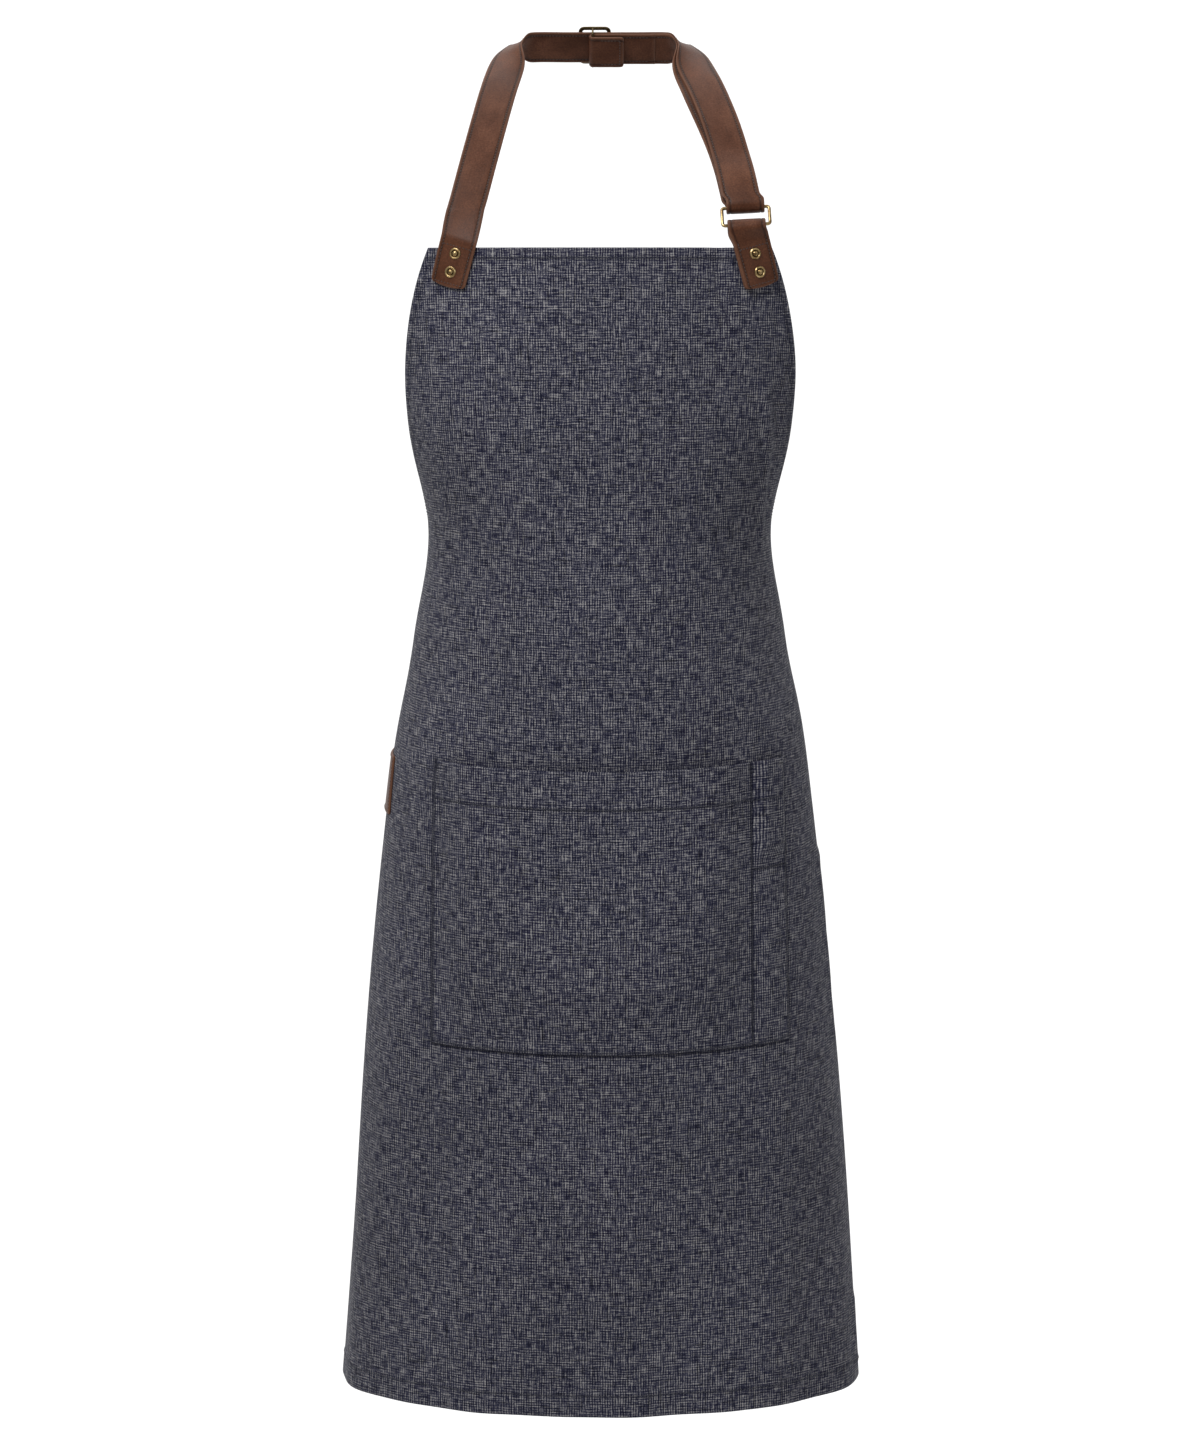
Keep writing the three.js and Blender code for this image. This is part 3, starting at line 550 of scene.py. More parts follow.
# ---------------------------------------------------------------- materials
class Look:
    """A material. Its methods add texture nodes to it and return their outputs."""

    def __init__(self, name):
        self.material = bpy.data.materials.new(name)
        self.material.use_nodes = True
        self.nodes, self.links = self.material.node_tree.nodes, self.material.node_tree.links

    def feed(self, socket, value):
        """Set a socket to a number or a colour, or link it to another node's output."""
        if isinstance(value, (int, float)):
            socket.default_value = value
        elif isinstance(value, tuple):
            socket.default_value = (*value, 1)
        else:
            self.links.new(value, socket)

    def node(self, kind, inputs, output):
        made = self.nodes.new("ShaderNode" + kind)
        for socket, value in inputs.items():
            self.feed(made.inputs[socket], value)
        return made.outputs[output]

    def by_uv(self, u_scale, v_scale):
        """Texture places from the uv map, in metres times the scales, so a pattern follows the cut piece."""
        mapping = self.nodes.new("ShaderNodeMapping")
        mapping.inputs["Scale"].default_value = (u_scale, v_scale, 1)
        self.feed(mapping.inputs["Vector"], self.node("TexCoord", {}, "UV"))
        return mapping.outputs["Vector"]

    def by_object(self):
        return self.node("TexCoord", {}, "Object")

    def mark(self, name):
        """A named value that the mesh carries at its points."""
        made = self.nodes.new("ShaderNodeAttribute")
        made.attribute_name = name
        return made.outputs["Fac"]

    def noise(self, place, scale=1.0, detail=2.0, rough=0.5):
        inputs = {"Vector": place, "Scale": scale, "Detail": detail, "Roughness": rough}
        return self.node("TexNoise", inputs, "Fac")

    def maths(self, operation, a, b):
        made = self.nodes.new("ShaderNodeMath")
        made.operation = operation
        self.feed(made.inputs[0], a)
        self.feed(made.inputs[1], b)
        return made.outputs[0]

    def ramp(self, value, *stops):
        """Colours, or shades of grey given as one number, from (position, colour) stops."""
        made = self.nodes.new("ShaderNodeValToRGB")
        while len(made.color_ramp.elements) < len(stops):
            made.color_ramp.elements.new(0.5)
        for element, (position, colour) in zip(made.color_ramp.elements, stops):
            element.position = position
            element.color = (*(colour if isinstance(colour, tuple) else (colour,) * 3), 1)
        self.feed(made.inputs["Fac"], value)
        return made.outputs["Color"]

    def mix(self, share, a, b, blend="MIX"):
        made = self.nodes.new("ShaderNodeMix")
        made.data_type = "RGBA"
        made.blend_type = blend
        # The node has sockets of the same names for each kind of value; these are the colour ones.
        for socket, value in ((0, share), (6, a), (7, b)):
            self.feed(made.inputs[socket], value)
        return made.outputs[2]

    def bump(self, height, strength, distance, normal=None):
        inputs = {"Height": height, "Strength": strength, "Distance": distance}
        if normal is not None:
            inputs["Normal"] = normal
        return self.node("Bump", inputs, "Normal")

    def shade(self, inputs):
        """Set or link the shader's inputs by name, and hand over the finished material."""
        for socket, value in inputs.items():
            self.feed(self.nodes["Principled BSDF"].inputs[socket], value)
        return self.material


YARN_FINE, YARN_RUN = 1150, 105  # how often the yarn changes across and along itself, per metre
WEAVE_PITCH = 0.0019  # metres from one raised yarn to the next
WAVE_PERIOD = math.pi / 10  # the pitch of a wave texture's own bands


def weave_bands(look, direction):
    """Evenly spaced yarns, slightly uneven along their run."""
    made = look.nodes.new("ShaderNodeTexWave")
    made.bands_direction = direction
    values = {"Scale": WAVE_PERIOD / WEAVE_PITCH, "Distortion": 2.2, "Detail": 1.0, "Detail Scale": 0.6}
    for socket, value in values.items():
        made.inputs[socket].default_value = value
    look.feed(made.inputs["Vector"], look.by_uv(1, 1))
    return made.outputs["Fac"]


def cloth_material(name):
    """Indigo Oxford cloth: dark and light yarns crossing, with slubs along both, and its seams darkened:
    partly the dark stitch line, partly painted shade in their grooves and a painted shadow round the pocket.
    """
    look = Look(name)
    parts = [
        (look.noise(look.by_uv(YARN_FINE, YARN_RUN), detail=1.5), 0.3),
        (look.noise(look.by_uv(YARN_RUN, YARN_FINE), detail=1.5), 0.3),
        (look.noise(look.by_uv(980, 980), detail=2, rough=0.6), 0.25),
        (weave_bands(look, "X"), 0.09),
        (weave_bands(look, "Y"), 0.06),
    ]
    shares = [look.maths("MULTIPLY", value, share) for value, share in parts]
    weave = shares[0]
    for part in shares[1:]:
        weave = look.maths("ADD", weave, part)
    colour = look.ramp(
        weave,
        (0.4, (0.003, 0.0035, 0.014)),
        (0.465, (0.016, 0.0168, 0.036)),
        (0.525, (0.062, 0.062, 0.084)),
        (0.61, (0.27, 0.262, 0.262)),
    )
    slubs = look.maths(
        "MAXIMUM",
        look.noise(look.by_uv(560, 45), detail=2),
        look.noise(look.by_uv(45, 560), detail=2),
    )
    colour = look.mix(1.0, colour, look.ramp(slubs, (0.6, 1.0), (0.7, 0.5)), "MULTIPLY")
    broad = look.noise(look.by_uv(9, 7), detail=3)
    colour = look.mix(1.0, colour, look.ramp(broad, (0.3, 0.88), (0.7, 1.1)), "MULTIPLY")
    return look.shade({
        # Seam lines mixed toward dark navy: partly the stitch line, partly painted shade.
        "Base Color": look.mix(look.mark("seam_line_and_shade"), colour, (0.005, 0.0055, 0.014)),
        "Normal": look.bump(weave, 0.6, 0.0011),
        "Roughness": 0.95,
        "Sheen Weight": 0.05,
        "Sheen Roughness": 0.5,
        "Specular IOR Level": 0.12,
    })


def leather_material(name):
    """Brown smooth leather: fine grain, cloudy colour and a soft gloss; its edges lightened, partly as
    rubbed wear and partly as a painted highlight; its seams darkened, partly as the stitch line and partly
    as painted shade in the groove.
    """
    look = Look(name)
    cloud = look.noise(look.by_uv(45, 30), detail=5, rough=0.6)
    fine = look.noise(look.by_uv(700, 700), detail=4, rough=0.7)
    cells = look.nodes.new("ShaderNodeTexVoronoi")
    cells.feature = "DISTANCE_TO_EDGE"
    cells.inputs["Scale"].default_value = 1.0
    look.feed(cells.inputs["Vector"], look.by_uv(1150, 950))
    pits = look.ramp(cells.outputs["Distance"], (0.0, 0.0), (0.16, 1.0))
    colour = look.ramp(
        cloud,
        (0.32, (0.054, 0.0185, 0.0085)),
        (0.5, (0.08, 0.029, 0.0142)),
        (0.7, (0.11, 0.043, 0.0225)),
    )
    colour = look.mix(1.0, colour, look.ramp(fine, (0.38, 0.72), (0.62, 1.18)), "MULTIPLY")
    # Edges lightened toward a paler brown: partly rubbed wear, partly a painted highlight.
    rub_and_highlight = look.maths("MULTIPLY", look.mark("wear_and_highlight"), 0.55)
    colour = look.mix(rub_and_highlight, colour, (0.15, 0.074, 0.046))
    return look.shade({
        # Seam lines darkened: partly the stitch line, partly painted shade in the groove under it.
        "Base Color": look.mix(look.mark("seam_line_and_shade"), colour, (0.012, 0.005, 0.003)),
        "Normal": look.bump(fine, 0.25, 0.0003, look.bump(pits, 0.22, 0.0002)),
        "Roughness": look.ramp(cloud, (0.3, 0.36), (0.7, 0.52)),
        "Specular IOR Level": 0.12,
        "Coat Weight": 0.02,
        "Coat Roughness": 0.3,
    })


def brass_material(name, shade=1.0):
    """Antique brass: warm metal, browned in its hollows, with fine scratches."""
    look = Look(name)
    cloud = look.noise(look.by_object(), scale=260, detail=5, rough=0.6)
    scratch = look.noise(look.by_uv(900, 120), detail=3)
    stops = [(0.34, (0.16, 0.1, 0.045)), (0.52, (0.4, 0.285, 0.135)), (0.7, (0.58, 0.45, 0.235))]
    colour = look.ramp(cloud, *[(place, tuple(c * shade for c in rgb)) for place, rgb in stops])
    hollow = look.maths("SUBTRACT", 1.0, look.mark("wear_and_highlight"))
    return look.shade({
        "Base Color": look.mix(look.maths("MULTIPLY", hollow, 0.8), colour, (0.03, 0.021, 0.012)),
        "Normal": look.bump(scratch, 0.12, 0.0002),
        "Metallic": 1.0,
        "Roughness": look.ramp(scratch, (0.3, 0.26), (0.7, 0.44)),
    })


def thread_material(name, dark, light):
    """Twisted sewing thread: two shades in turn along each stitch."""
    look = Look(name)
    twist = look.noise(look.by_object(), scale=1500, detail=2)
    return look.shade({
        "Base Color": look.ramp(twist, (0.35, dark), (0.65, light)),
        "Normal": look.bump(twist, 0.4, 0.0002),
        "Roughness": 0.8,
        "Sheen Weight": 0.2,
    })


CLOTH_LOOK = cloth_material("oxford_cloth")
LEATHER_LOOK = leather_material("brown_leather")
BRASS_LOOK = brass_material("antique_brass")
# The slider's brass: the same look at under a third of its brightness.
DARKER_BRASS_LOOK = brass_material("darker_brass", 0.3)
NAVY_THREAD = thread_material("navy_thread", (0.006, 0.007, 0.016), (0.02, 0.022, 0.042))
BROWN_THREAD = thread_material("brown_thread", (0.018, 0.008, 0.006), (0.05, 0.024, 0.016))


def finish_piece(piece, look, body=None, replaces=()):
    piece.data.materials.append(look)
    if body:
        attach(piece, body)
    if replaces:
        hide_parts(*replaces)
    return piece


def sew(name, rows, radius, look, body=None):
    return finish_piece(stitches(name, rows, radius), look, body)


# ---------------------------------------------------------------- cloth panel
EDGE_STEPS = np.array([0, 0.25, 0.8, 2, 3.6, 5.2, 6.2, 7.2, 8.3, 9.4, 11, 14])
HEM_STEPS = np.array([0, 0.25, 0.8, 2.5, 6, 10, 14, 16.4, 17.6, 19, 22])
POCKET_LOW, POCKET_SEAM = POCKET["top"] + POCKET["height"], POCKET["top"] + POCKET["pen_depth"]

# Finer columns and rows of the panel where the pocket's outline presses into it.
PRESSED = np.array([-3, -1.6, -0.6, 0.4])
POCKET_SIDES = np.concatenate([POCKET["left"] + PRESSED, POCKET["right"] - PRESSED])
POCKET_ENDS = np.concatenate([POCKET["top"] - 0.6 * PRESSED[::-1], POCKET_LOW - PRESSED])


def pocket_outline_distance(u, v):
    """Distance on the flat cloth from the pocket's outline, on either side of it."""
    left, right, top = POCKET["left"], POCKET["right"], POCKET["top"]
    return line_distance(u, v, [(left, top), (left, POCKET_LOW), (right, POCKET_LOW), (right, top)])


# Dark lines along the hem stitching and round the pocket: partly the stitch lines, partly painted shade in
# their grooves, and round the pocket a painted shadow where it stands off the panel.
def panel_seam_lines_and_shade(u, v):
    side = line_distance(np.abs(u), v, SIDE_LINE)
    return np.max([
        0.8 * bell(v - HEM["top"] + 0.8, 0.9),
        0.65 * bell(side - HEM["side"] + 0.9, 0.9),
        0.7 * bell(CLOTH["length"] - v - HEM["bottom"] + 1, 0.9),
        0.85 * bell(pocket_outline_distance(u, v), 1.6),
    ], axis=0)


def panel_grid():
    """u and v over the whole panel, with finer rows and columns along its hems."""
    bib_turn = math.asin(EDGE_STEPS[-1] / CLOTH["armhole"])
    bib = CLOTH["armhole"] * np.sin(np.linspace(bib_turn, math.pi / 2, 96))[1:]
    skirt = np.arange(CLOTH["armhole"], CLOTH["length"] - HEM_STEPS[-1], 3.6)[1:]
    vs = np.sort(np.concatenate([EDGE_STEPS, bib, skirt, POCKET_ENDS, CLOTH["length"] - HEM_STEPS[::-1]]))
    inner = np.linspace(-1, 1, 150)[1:-1]
    inner = np.sort(np.concatenate([inner, POCKET_SIDES / (CLOTH["skirt_half"] - EDGE_STEPS[-1])]))
    rows = []
    for v in vs:
        half = panel_half(v)
        middle = inner * (half - EDGE_STEPS[-1])
        rows.append(np.concatenate([EDGE_STEPS - half, middle, half - EDGE_STEPS[::-1]]))
    us = np.array(rows)
    return us, np.repeat(vs[:, None], us.shape[1], 1)


def make_panel():
    u, v = panel_grid()
    base, normal = form_point(u, v), form_normal(u, v)
    lift, half = folds(u, v), panel_half_thick(u, v)
    outer, inner = lifted(base, normal, lift + half), lifted(base, normal, lift - half)
    panel = closed_sheet("apron_cloth", outer, inner, np.stack([u, v], -1), {"seam_line_and_shade": panel_seam_lines_and_shade(u, v)})
    finish_piece(panel, CLOTH_LOOK, "apron", ["apron_panel"])
    inset = CLOTH["skirt_half"] - HEM["side"] + 0.6
    armhole = [(panel_half(v) - HEM["side"] - 1.6, v) for v in np.linspace(8, 236, 60)]
    side = [(u, v) for u, v in armhole if u < inset]
    side += [(inset, CLOTH["armhole"] + HEM["side"]), (inset, CLOTH["length"] - 4)]
    top_half, top, bottom = CLOTH["top_half"] - 1, HEM["top"] - 0.8, CLOTH["length"] - HEM["bottom"] + 1
    lines = [
        [(-top_half, top), (top_half, top)],
        [(-inset, bottom), (inset, bottom)],
        side,
        [(-u, v) for u, v in side],
    ]
    rows = [sewn_line(panel_face, line) for line in lines]
    thread = sew("panel_stitches", rows, CLOTH_THREAD, NAVY_THREAD, "apron")


# ---------------------------------------------------------------- pocket and label
FAR = 99  # too far from a seam to show it
BAR = 9  # length of the dense bars that hold the ends of the pocket's mouth
LABEL_SEAT = WEAVE_HALF + 0.15  # from the cloth's middle to the label's underside


def pocket_grid():
    def fine(start, stop, count):
        t = np.linspace(0, 1, count)
        return start + (stop - start) * (t - 0.11 * np.sin(2 * math.pi * t))

    wide = fine(POCKET["left"], POCKET["divide"], 110)
    us = np.concatenate([wide, fine(POCKET["divide"], POCKET["right"], 30)[1:]])
    edge = np.array([0, 0.25, 0.8, 2])
    hem = POCKET["top"] + POCKET_HEM
    vs = np.concatenate([
        POCKET["top"] + edge,
        np.linspace(POCKET["top"] + 4, hem - 2, 14),
        [hem - 0.8, hem, hem + 0.8, hem + 1.6],
        np.linspace(hem + 4, POCKET_SEAM - 2, 20),
        [POCKET_SEAM - 1, POCKET_SEAM, POCKET_SEAM + 1],
        np.linspace(POCKET_SEAM + 3, POCKET_LOW - 4, 46),
        POCKET_LOW - edge[::-1],
    ])
    return np.meshgrid(us, vs)


# Dark lines along the pocket's edges, stitching and divider, and at the ends of its mouth: partly the stitch
# lines, partly painted shade in the grooves and in the gaps at the mouth's ends.
def pocket_seam_lines_and_shade(u, v):
    sides = np.minimum(np.abs(u - POCKET["left"]), np.abs(POCKET["right"] - u))
    divider = np.abs(u - POCKET["divide"])
    shut = np.where(u > POCKET["divide"], np.abs(v - POCKET_SEAM), FAR)
    bars = np.where(v < POCKET["top"] + BAR, np.minimum(divider, sides - TOPSTITCH), FAR)
    return np.max([
        0.9 * bell(sides, 1.3),
        0.5 * bell(sides - TOPSTITCH, 0.7),
        0.7 * bell(POCKET_LOW - v, 0.8),
        0.4 * bell(POCKET_LOW - v - TOPSTITCH, 0.7),
        0.85 * bell(divider, 1.0),
        0.85 * bell(shut, 0.9),
        0.7 * bell(v - POCKET["top"] - POCKET_HEM, 0.8),
        0.95 * bell(bars, 1.6),
    ], axis=0)


def make_pocket():
    u, v = pocket_grid()
    base, normal = form_point(u, v), form_normal(u, v)
    inner_lift = folds(u, v) + pocket_stand(u, v)
    outer_lift = inner_lift + pocket_thick(u, v) * (0.35 + 0.65 * edge_round(pocket_edge(u, v), 0.9))
    seam_grooves_and_shade = pocket_seam_lines_and_shade(u, v)
    # These marks sink the outer face into real grooves, and the look darkens the same lines as painted
    # shade.
    outer, inner = lifted(base, normal, outer_lift - 0.5 * seam_grooves_and_shade), lifted(base, normal, inner_lift)
    # Its uv starts far from the panel's, so that the weave doesn't run on from one to the other.
    pocket = closed_sheet("pocket_cloth", outer, inner, np.stack([u + 1000, v + 300], -1), {"seam_line_and_shade": seam_grooves_and_shade})
    finish_piece(pocket, CLOTH_LOOK, "apron", ["main_pocket"])
    left, divide, right = POCKET["left"] + TOPSTITCH, POCKET["divide"], POCKET["right"] - TOPSTITCH
    top, hem, bottom = POCKET["top"] + 1, POCKET["top"] + POCKET_HEM, POCKET_LOW - TOPSTITCH
    lines = [
        [(left, top), (left, bottom), (right, bottom), (right, top)],
        [(left - 1, hem), (right + 1, hem)],
        [(divide, top), (divide, bottom)],
        [(divide + 1, POCKET_SEAM), (right, POCKET_SEAM)],
    ]
    for bar in (left + 1.2, divide - 1.2, divide + 1.2, right - 1.2):
        lines.append([(bar, top), (bar, top + BAR)])
    rows = [sewn_line(pocket_face, line) for line in lines]
    thread = sew("pocket_stitches", rows, CLOTH_THREAD, NAVY_THREAD, "apron")


def make_label():
    """A blank leather patch with a raised border and rounded corners, sewn to the cloth at the hip."""
    half_w, half_h = LABEL["width"] / 2, LABEL["height"] / 2
    middle_v = LABEL["top"] + half_h
    straight = 0.9  # the share of each side that comes before its rounded corner
    s = np.concatenate([[-1, -0.99, -0.95, -0.9], np.linspace(-0.86, 0.86, 30), [0.9, 0.95, 0.99, 1]])
    square = np.meshgrid(s, s)
    past = [np.maximum(np.abs(way) - straight, 0) for way in square]
    shrink = np.maximum(np.hypot(*past) / 0.1, 1)
    across, down = (
        np.sign(way) * (np.minimum(np.abs(way), straight) + over / shrink)
        for way, over in zip(square, past))
    u, v = LABEL["middle"] + across * half_w, middle_v + down * half_h
    edge = np.minimum(half_w - np.abs(across) * half_w, half_h - np.abs(down) * half_h)
    base, normal = form_point(u, v), form_normal(u, v)
    under = folds(u, v) + LABEL_SEAT
    ridge = 0.35 * (1 - ease((edge - 2.2) / 1.2)) - 0.25 * bell(edge - 3.4, 0.5)
    lift = under + (LABEL["thick"] + ridge) * (0.3 + 0.7 * edge_round(np.maximum(edge, 0), 0.9))
    outer, inner = lifted(base, normal, lift), lifted(base, normal, under)
    # Its edges are lightened like the straps': partly rubbed wear, partly a painted highlight.
    label = closed_sheet("label_leather", outer, inner, np.stack([u, v], -1), {"wear_and_highlight": bell(edge, 1.4)})
    finish_piece(label, LEATHER_LOOK, "apron", ["hip_label"])

    def face(u, v):
        direction = form_normal(u, v)
        lift = folds(u, v) + LABEL_SEAT + LABEL["thick"] + 0.2
        return lifted(form_point(u, v), direction, lift), direction

    a, b = half_w - 2, half_h - 2
    ring = [(-a, -b), (a, -b), (a, b), (-a, b), (-a, -b)]
    line = [(LABEL["middle"] + x, middle_v + y) for x, y in ring]
    sew("label_stitches", [sewn_line(face, line, LEATHER_SEWING)], CLOTH_THREAD, BROWN_THREAD, "apron")


# ---------------------------------------------------------------- neck strap runs
def centripetal(points, step):
    """A centripetal Catmull-Rom curve through the points, sampled about every step along it."""
    p = np.vstack([2 * points[0] - points[1], points, 2 * points[-1] - points[-2]])
    out = []
    for a, b, c, d in zip(p[:-3], p[1:-2], p[2:-1], p[3:]):
        t0 = 0.0
        t1 = t0 + math.sqrt(np.linalg.norm(b - a))
        t2 = t1 + math.sqrt(np.linalg.norm(c - b))
        t3 = t2 + math.sqrt(np.linalg.norm(d - c))
        t = np.linspace(t1, t2, max(int(np.linalg.norm(c - b) / step), 2), endpoint=False)[:, None]
        ab = (t1 - t) / (t1 - t0) * a + (t - t0) / (t1 - t0) * b
        bc = (t2 - t) / (t2 - t1) * b + (t - t1) / (t2 - t1) * c
        cd = (t3 - t) / (t3 - t2) * c + (t - t2) / (t3 - t2) * d
        left = (t2 - t) / (t2 - t0) * ab + (t - t0) / (t2 - t0) * bc
        right = (t3 - t) / (t3 - t1) * bc + (t - t1) / (t3 - t1) * cd
        out.append((t2 - t) / (t2 - t1) * left + (t - t1) / (t2 - t1) * right)
    return np.vstack(out + [points[-1:]])


# The strap's way from the nape's straight stretch to the flex line, in shares out, forward and down.
COURSE = [
    (0.218, 0.048, 0.012), (0.337, 0.159, 0.054), (0.406, 0.287, 0.131), (0.515, 0.454, 0.269),
    (0.653, 0.653, 0.477), (0.802, 0.829, 0.708), (0.941, 0.956, 0.923), (1, 1, 1),
]
# How much wider the right half runs, where that is reached, and by what share it closes again below.
SPREAD = dict(most=0.09, full_at=0.46, close_from=0.69, close=0.25)
STEP = 2.5
INNER_SHIFT = 5  # the inner layer lies this much nearer to the neck, half way down
FLEX_X = END["start_x"] - FLEX["inward"]
FLEX_Y = float(form_point(END["start_x"], 0)[1]) + FLEX["back"]
OUTWARD_NAPE = vec(0, math.sin(LEAN), -math.cos(LEAN))
AWAY_FROM_NECK = vec(0, math.cos(LEAN), math.sin(LEAN))

# Where the strap turns onto the shoulder it lies level, a little higher than the part's.
LEVEL = dict(lean=math.radians(95), before=-2, over=18, rise=6, sink=60, turned=68)


def spread_at(side, z):
    if side < 0:
        return 1.0
    way = z / HINGE_Z
    closed = SPREAD["close"] * ease((way - SPREAD["close_from"]) / (1 - SPREAD["close_from"]))
    return 1 + SPREAD["most"] * (ease(way / SPREAD["full_at"]) - closed)


def strap_run(side):
    """Points and directions over the width, from the middle of the nape to the flex line on one side."""
    points = [vec(side * x, 0, 0) for x in (0, FLAT_HALF / 2, FLAT_HALF)]
    for out, forward, down in COURSE:
        z = down * HINGE_Z
        x = (FLAT_HALF + out * (FLEX_X - FLAT_HALF)) * spread_at(side, z)
        points.append(vec(side * x, forward * FLEX_Y, z))
    line = centripetal(np.array(points), STEP)
    run = lengths_along(line)
    lean = RING["lean"] if side > 0 else 0
    front = vec(side * math.cos(lean), 0, math.sin(lean))
    turn = ease((run - FLAT_HALF) / LEVEL["turned"])[:, None]
    level = ease((run - FLAT_HALF + LEVEL["before"]) / LEVEL["over"])
    lean = LEAN + (LEVEL["lean"] - LEAN) * level
    back = np.column_stack([0 * lean, np.sin(lean), -np.cos(lean)])
    line[:, 2] += LEVEL["rise"] * level * (1 - ease((run - FLAT_HALF) / LEVEL["sink"]))
    across = lerp(back, front, turn)
    along = unit(np.gradient(line, axis=0))
    skew = np.einsum("ij,ij->i", across, along)
    # Near the shoulder the width is turned a quarter of the way square to the line.
    square = 0.25 * (1 - ease((run - FLAT_HALF - 50) / 50))
    return line, unit(across - (square * skew)[:, None] * along)


def strap_end(side, layer):
    """A riveted end's line down the bib, that many leather layers in front of the cloth."""
    drops = np.linspace(-6, END["drop"], 15)
    u = side * (END["start_x"] * spread_at(side, BIB_Z) + END["slope"] * drops)
    normal = form_normal(u, np.maximum(drops, 0))
    points = form_point(u, np.maximum(drops, 0))
    points = points + normal * (PANEL_FACE + CLEAR + STRAP_THICK / 2 + layer * LAYER)
    points[:, 2] -= np.minimum(drops, 0)
    across = unit(np.cross(unit(vec(side * END["slope"], 0, -1)), normal))
    return points, across * np.sign(across[:, :1]) * side


RIGHT_LINE, RIGHT_ACROSS = strap_run(1)
RING_MIDDLE, RING_ACROSS = RIGHT_LINE[-1], RIGHT_ACROSS[-1]
ring_way = RIGHT_LINE[-1] - RIGHT_LINE[-6]
RING_DOWN = unit(ring_way - RING_ACROSS * (ring_way @ RING_ACROSS))
BAR_OFFSET = (RING["height"] - RING["wire"]) / 2
FOLD_EASE = 0.45  # a smooth fold stands this much wider than the part's
FOLD = RING["wire"] / 2 + LOOSE + STRAP_THICK / 2 + FOLD_EASE


def fold_line(bar, through):
    """A half turn of leather round a bar, from the front layer through the given direction to the back."""
    forward = vec(0, -1, 0)
    forward = unit(forward - through * (forward @ through))
    middle = bar + through * (BEARING - LOOSE)
    angles = np.linspace(0, math.pi, 15)
    turn = [middle + forward * FOLD * math.cos(a) + through * FOLD * math.sin(a) for a in angles]
    lead = [middle + forward * FOLD * side - through * FOLD * reach for side, reach in ((1, 0.6), (-1, 0.6))]
    return np.array([lead[0], *turn, lead[1]])


def neck_strap_run(inner_from):
    """The whole neck strap: left end, nape, right outer layer, fold on the ring, inner layer to the nape."""
    left, left_across = strap_run(-1)
    end, end_across = strap_end(-1, 0)
    bar = RING_MIDDLE - RING_DOWN * BAR_OFFSET
    distance = np.linalg.norm(RIGHT_LINE - bar, axis=1)
    lead = (distance > FOLD + 2) & (RIGHT_LINE[:, 2] > bar[2])
    line, across = RIGHT_LINE[lead], RIGHT_ACROSS[lead]
    opening = (1 - ease((distance[lead] - FOLD - 11) / 38))[:, None]
    normals = Run(line, across).normals
    outer = line + normals * opening * FOLD
    inner = line - normals * (LAYER + opening * (FOLD - LAYER))
    keep = line[:, 0] > inner_from
    share = np.linspace(0, 1, keep.sum())
    inner, inner_across = inner[keep], across[keep]
    inner = inner - inner_across * (INNER_SHIFT * np.sin(math.pi * ease(share)))[:, None]
    fold = fold_line(bar, RING_DOWN)
    parts = [
        (end[::-1], end_across[::-1]),
        (left[::-1][2:], left_across[::-1][2:]),
        (outer[1:], across[1:]),
        (fold, np.repeat(RING_ACROSS[None], len(fold), 0)),
        (inner[::-1], inner_across[::-1]),
    ]
    points = np.vstack([p for p, _ in parts])
    directions = np.vstack([a for _, a in parts])
    return Run(points, directions, smoothing=2)


# ---------------------------------------------------------------- leather pieces
NAPE_FRAME = np.stack([vec(1, 0, 0), OUTWARD_NAPE, AWAY_FROM_NECK], 1)
SIDE_BAR_Z = STRAP_THICK / 2 + CLEAR + SLIDER["bar"] / 2
MIDDLE_BAR_Z = -(LAYER + SIDE_BAR_Z)
JOIN_X = 40  # the slider's leather and the strap's inner layer meet here on the nape
END_CORNER = 3.2  # radius of the riveted ends' corners
END_SEAM = END["drop"] + 1.5  # from a riveted end to the stitches over the strap above its rivets


def leather_strip(name, run, replaced, **shape):
    made = strip(name, run, STRAP_WIDTH, STRAP_THICK, 1.6, LEATHER_STITCH, groove=0.28, crown=0.12, **shape)
    return finish_piece(made, LEATHER_LOOK, replaces=replaced)


def place_near(run, point):
    """The length along a run at which it passes nearest to a point."""
    return run.place[np.argmin(np.linalg.norm(run.points - point, axis=1))]


def make_neck_strap():
    run = neck_strap_run(JOIN_X - 2)
    strap = leather_strip(
        "neck_strap_leather", run, ["neck_strap", "strap_end_left"], ends=(END_CORNER, 0), bows=(1.4, 0))
    fold_place = place_near(run, RING_MIDDLE - RING_DOWN * (BAR_OFFSET - 3))
    rows = leather_edge_stitches(run, 3, fold_place - 6)
    rows += leather_edge_stitches(run, fold_place + 10, run.length - 3)
    for place in (LEATHER_STITCH, END_SEAM):
        rows += leather_cross_stitches(run, place, faces=(1,))
    thread = sew("neck_strap_stitches", rows, LEATHER_THREAD, BROWN_THREAD)
    for piece in (strap, thread):
        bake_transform(piece)


def make_ring_tab():
    bar = RING_MIDDLE + RING_DOWN * BAR_OFFSET
    front, front_across = strap_end(1, 1)
    back, back_across = strap_end(1, 0)
    fold = fold_line(bar, -RING_DOWN)
    points = np.vstack([front[::-1], fold, back])
    across = np.vstack([front_across[::-1], np.repeat(RING_ACROSS[None], len(fold), 0), back_across])
    run = Run(points, across, smoothing=2)
    corners = (END_CORNER, END_CORNER)
    tab = leather_strip("ring_tab_leather", run, ["ring_tab"], ends=corners, bows=(1.2, 1.2))
    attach(tab, "apron")
    rows = leather_edge_stitches(run, 3, END["drop"] + 9)
    for place in (LEATHER_STITCH, END_SEAM):
        rows += leather_cross_stitches(run, place)
    sew("ring_tab_stitches", rows, LEATHER_THREAD, BROWN_THREAD, "apron")


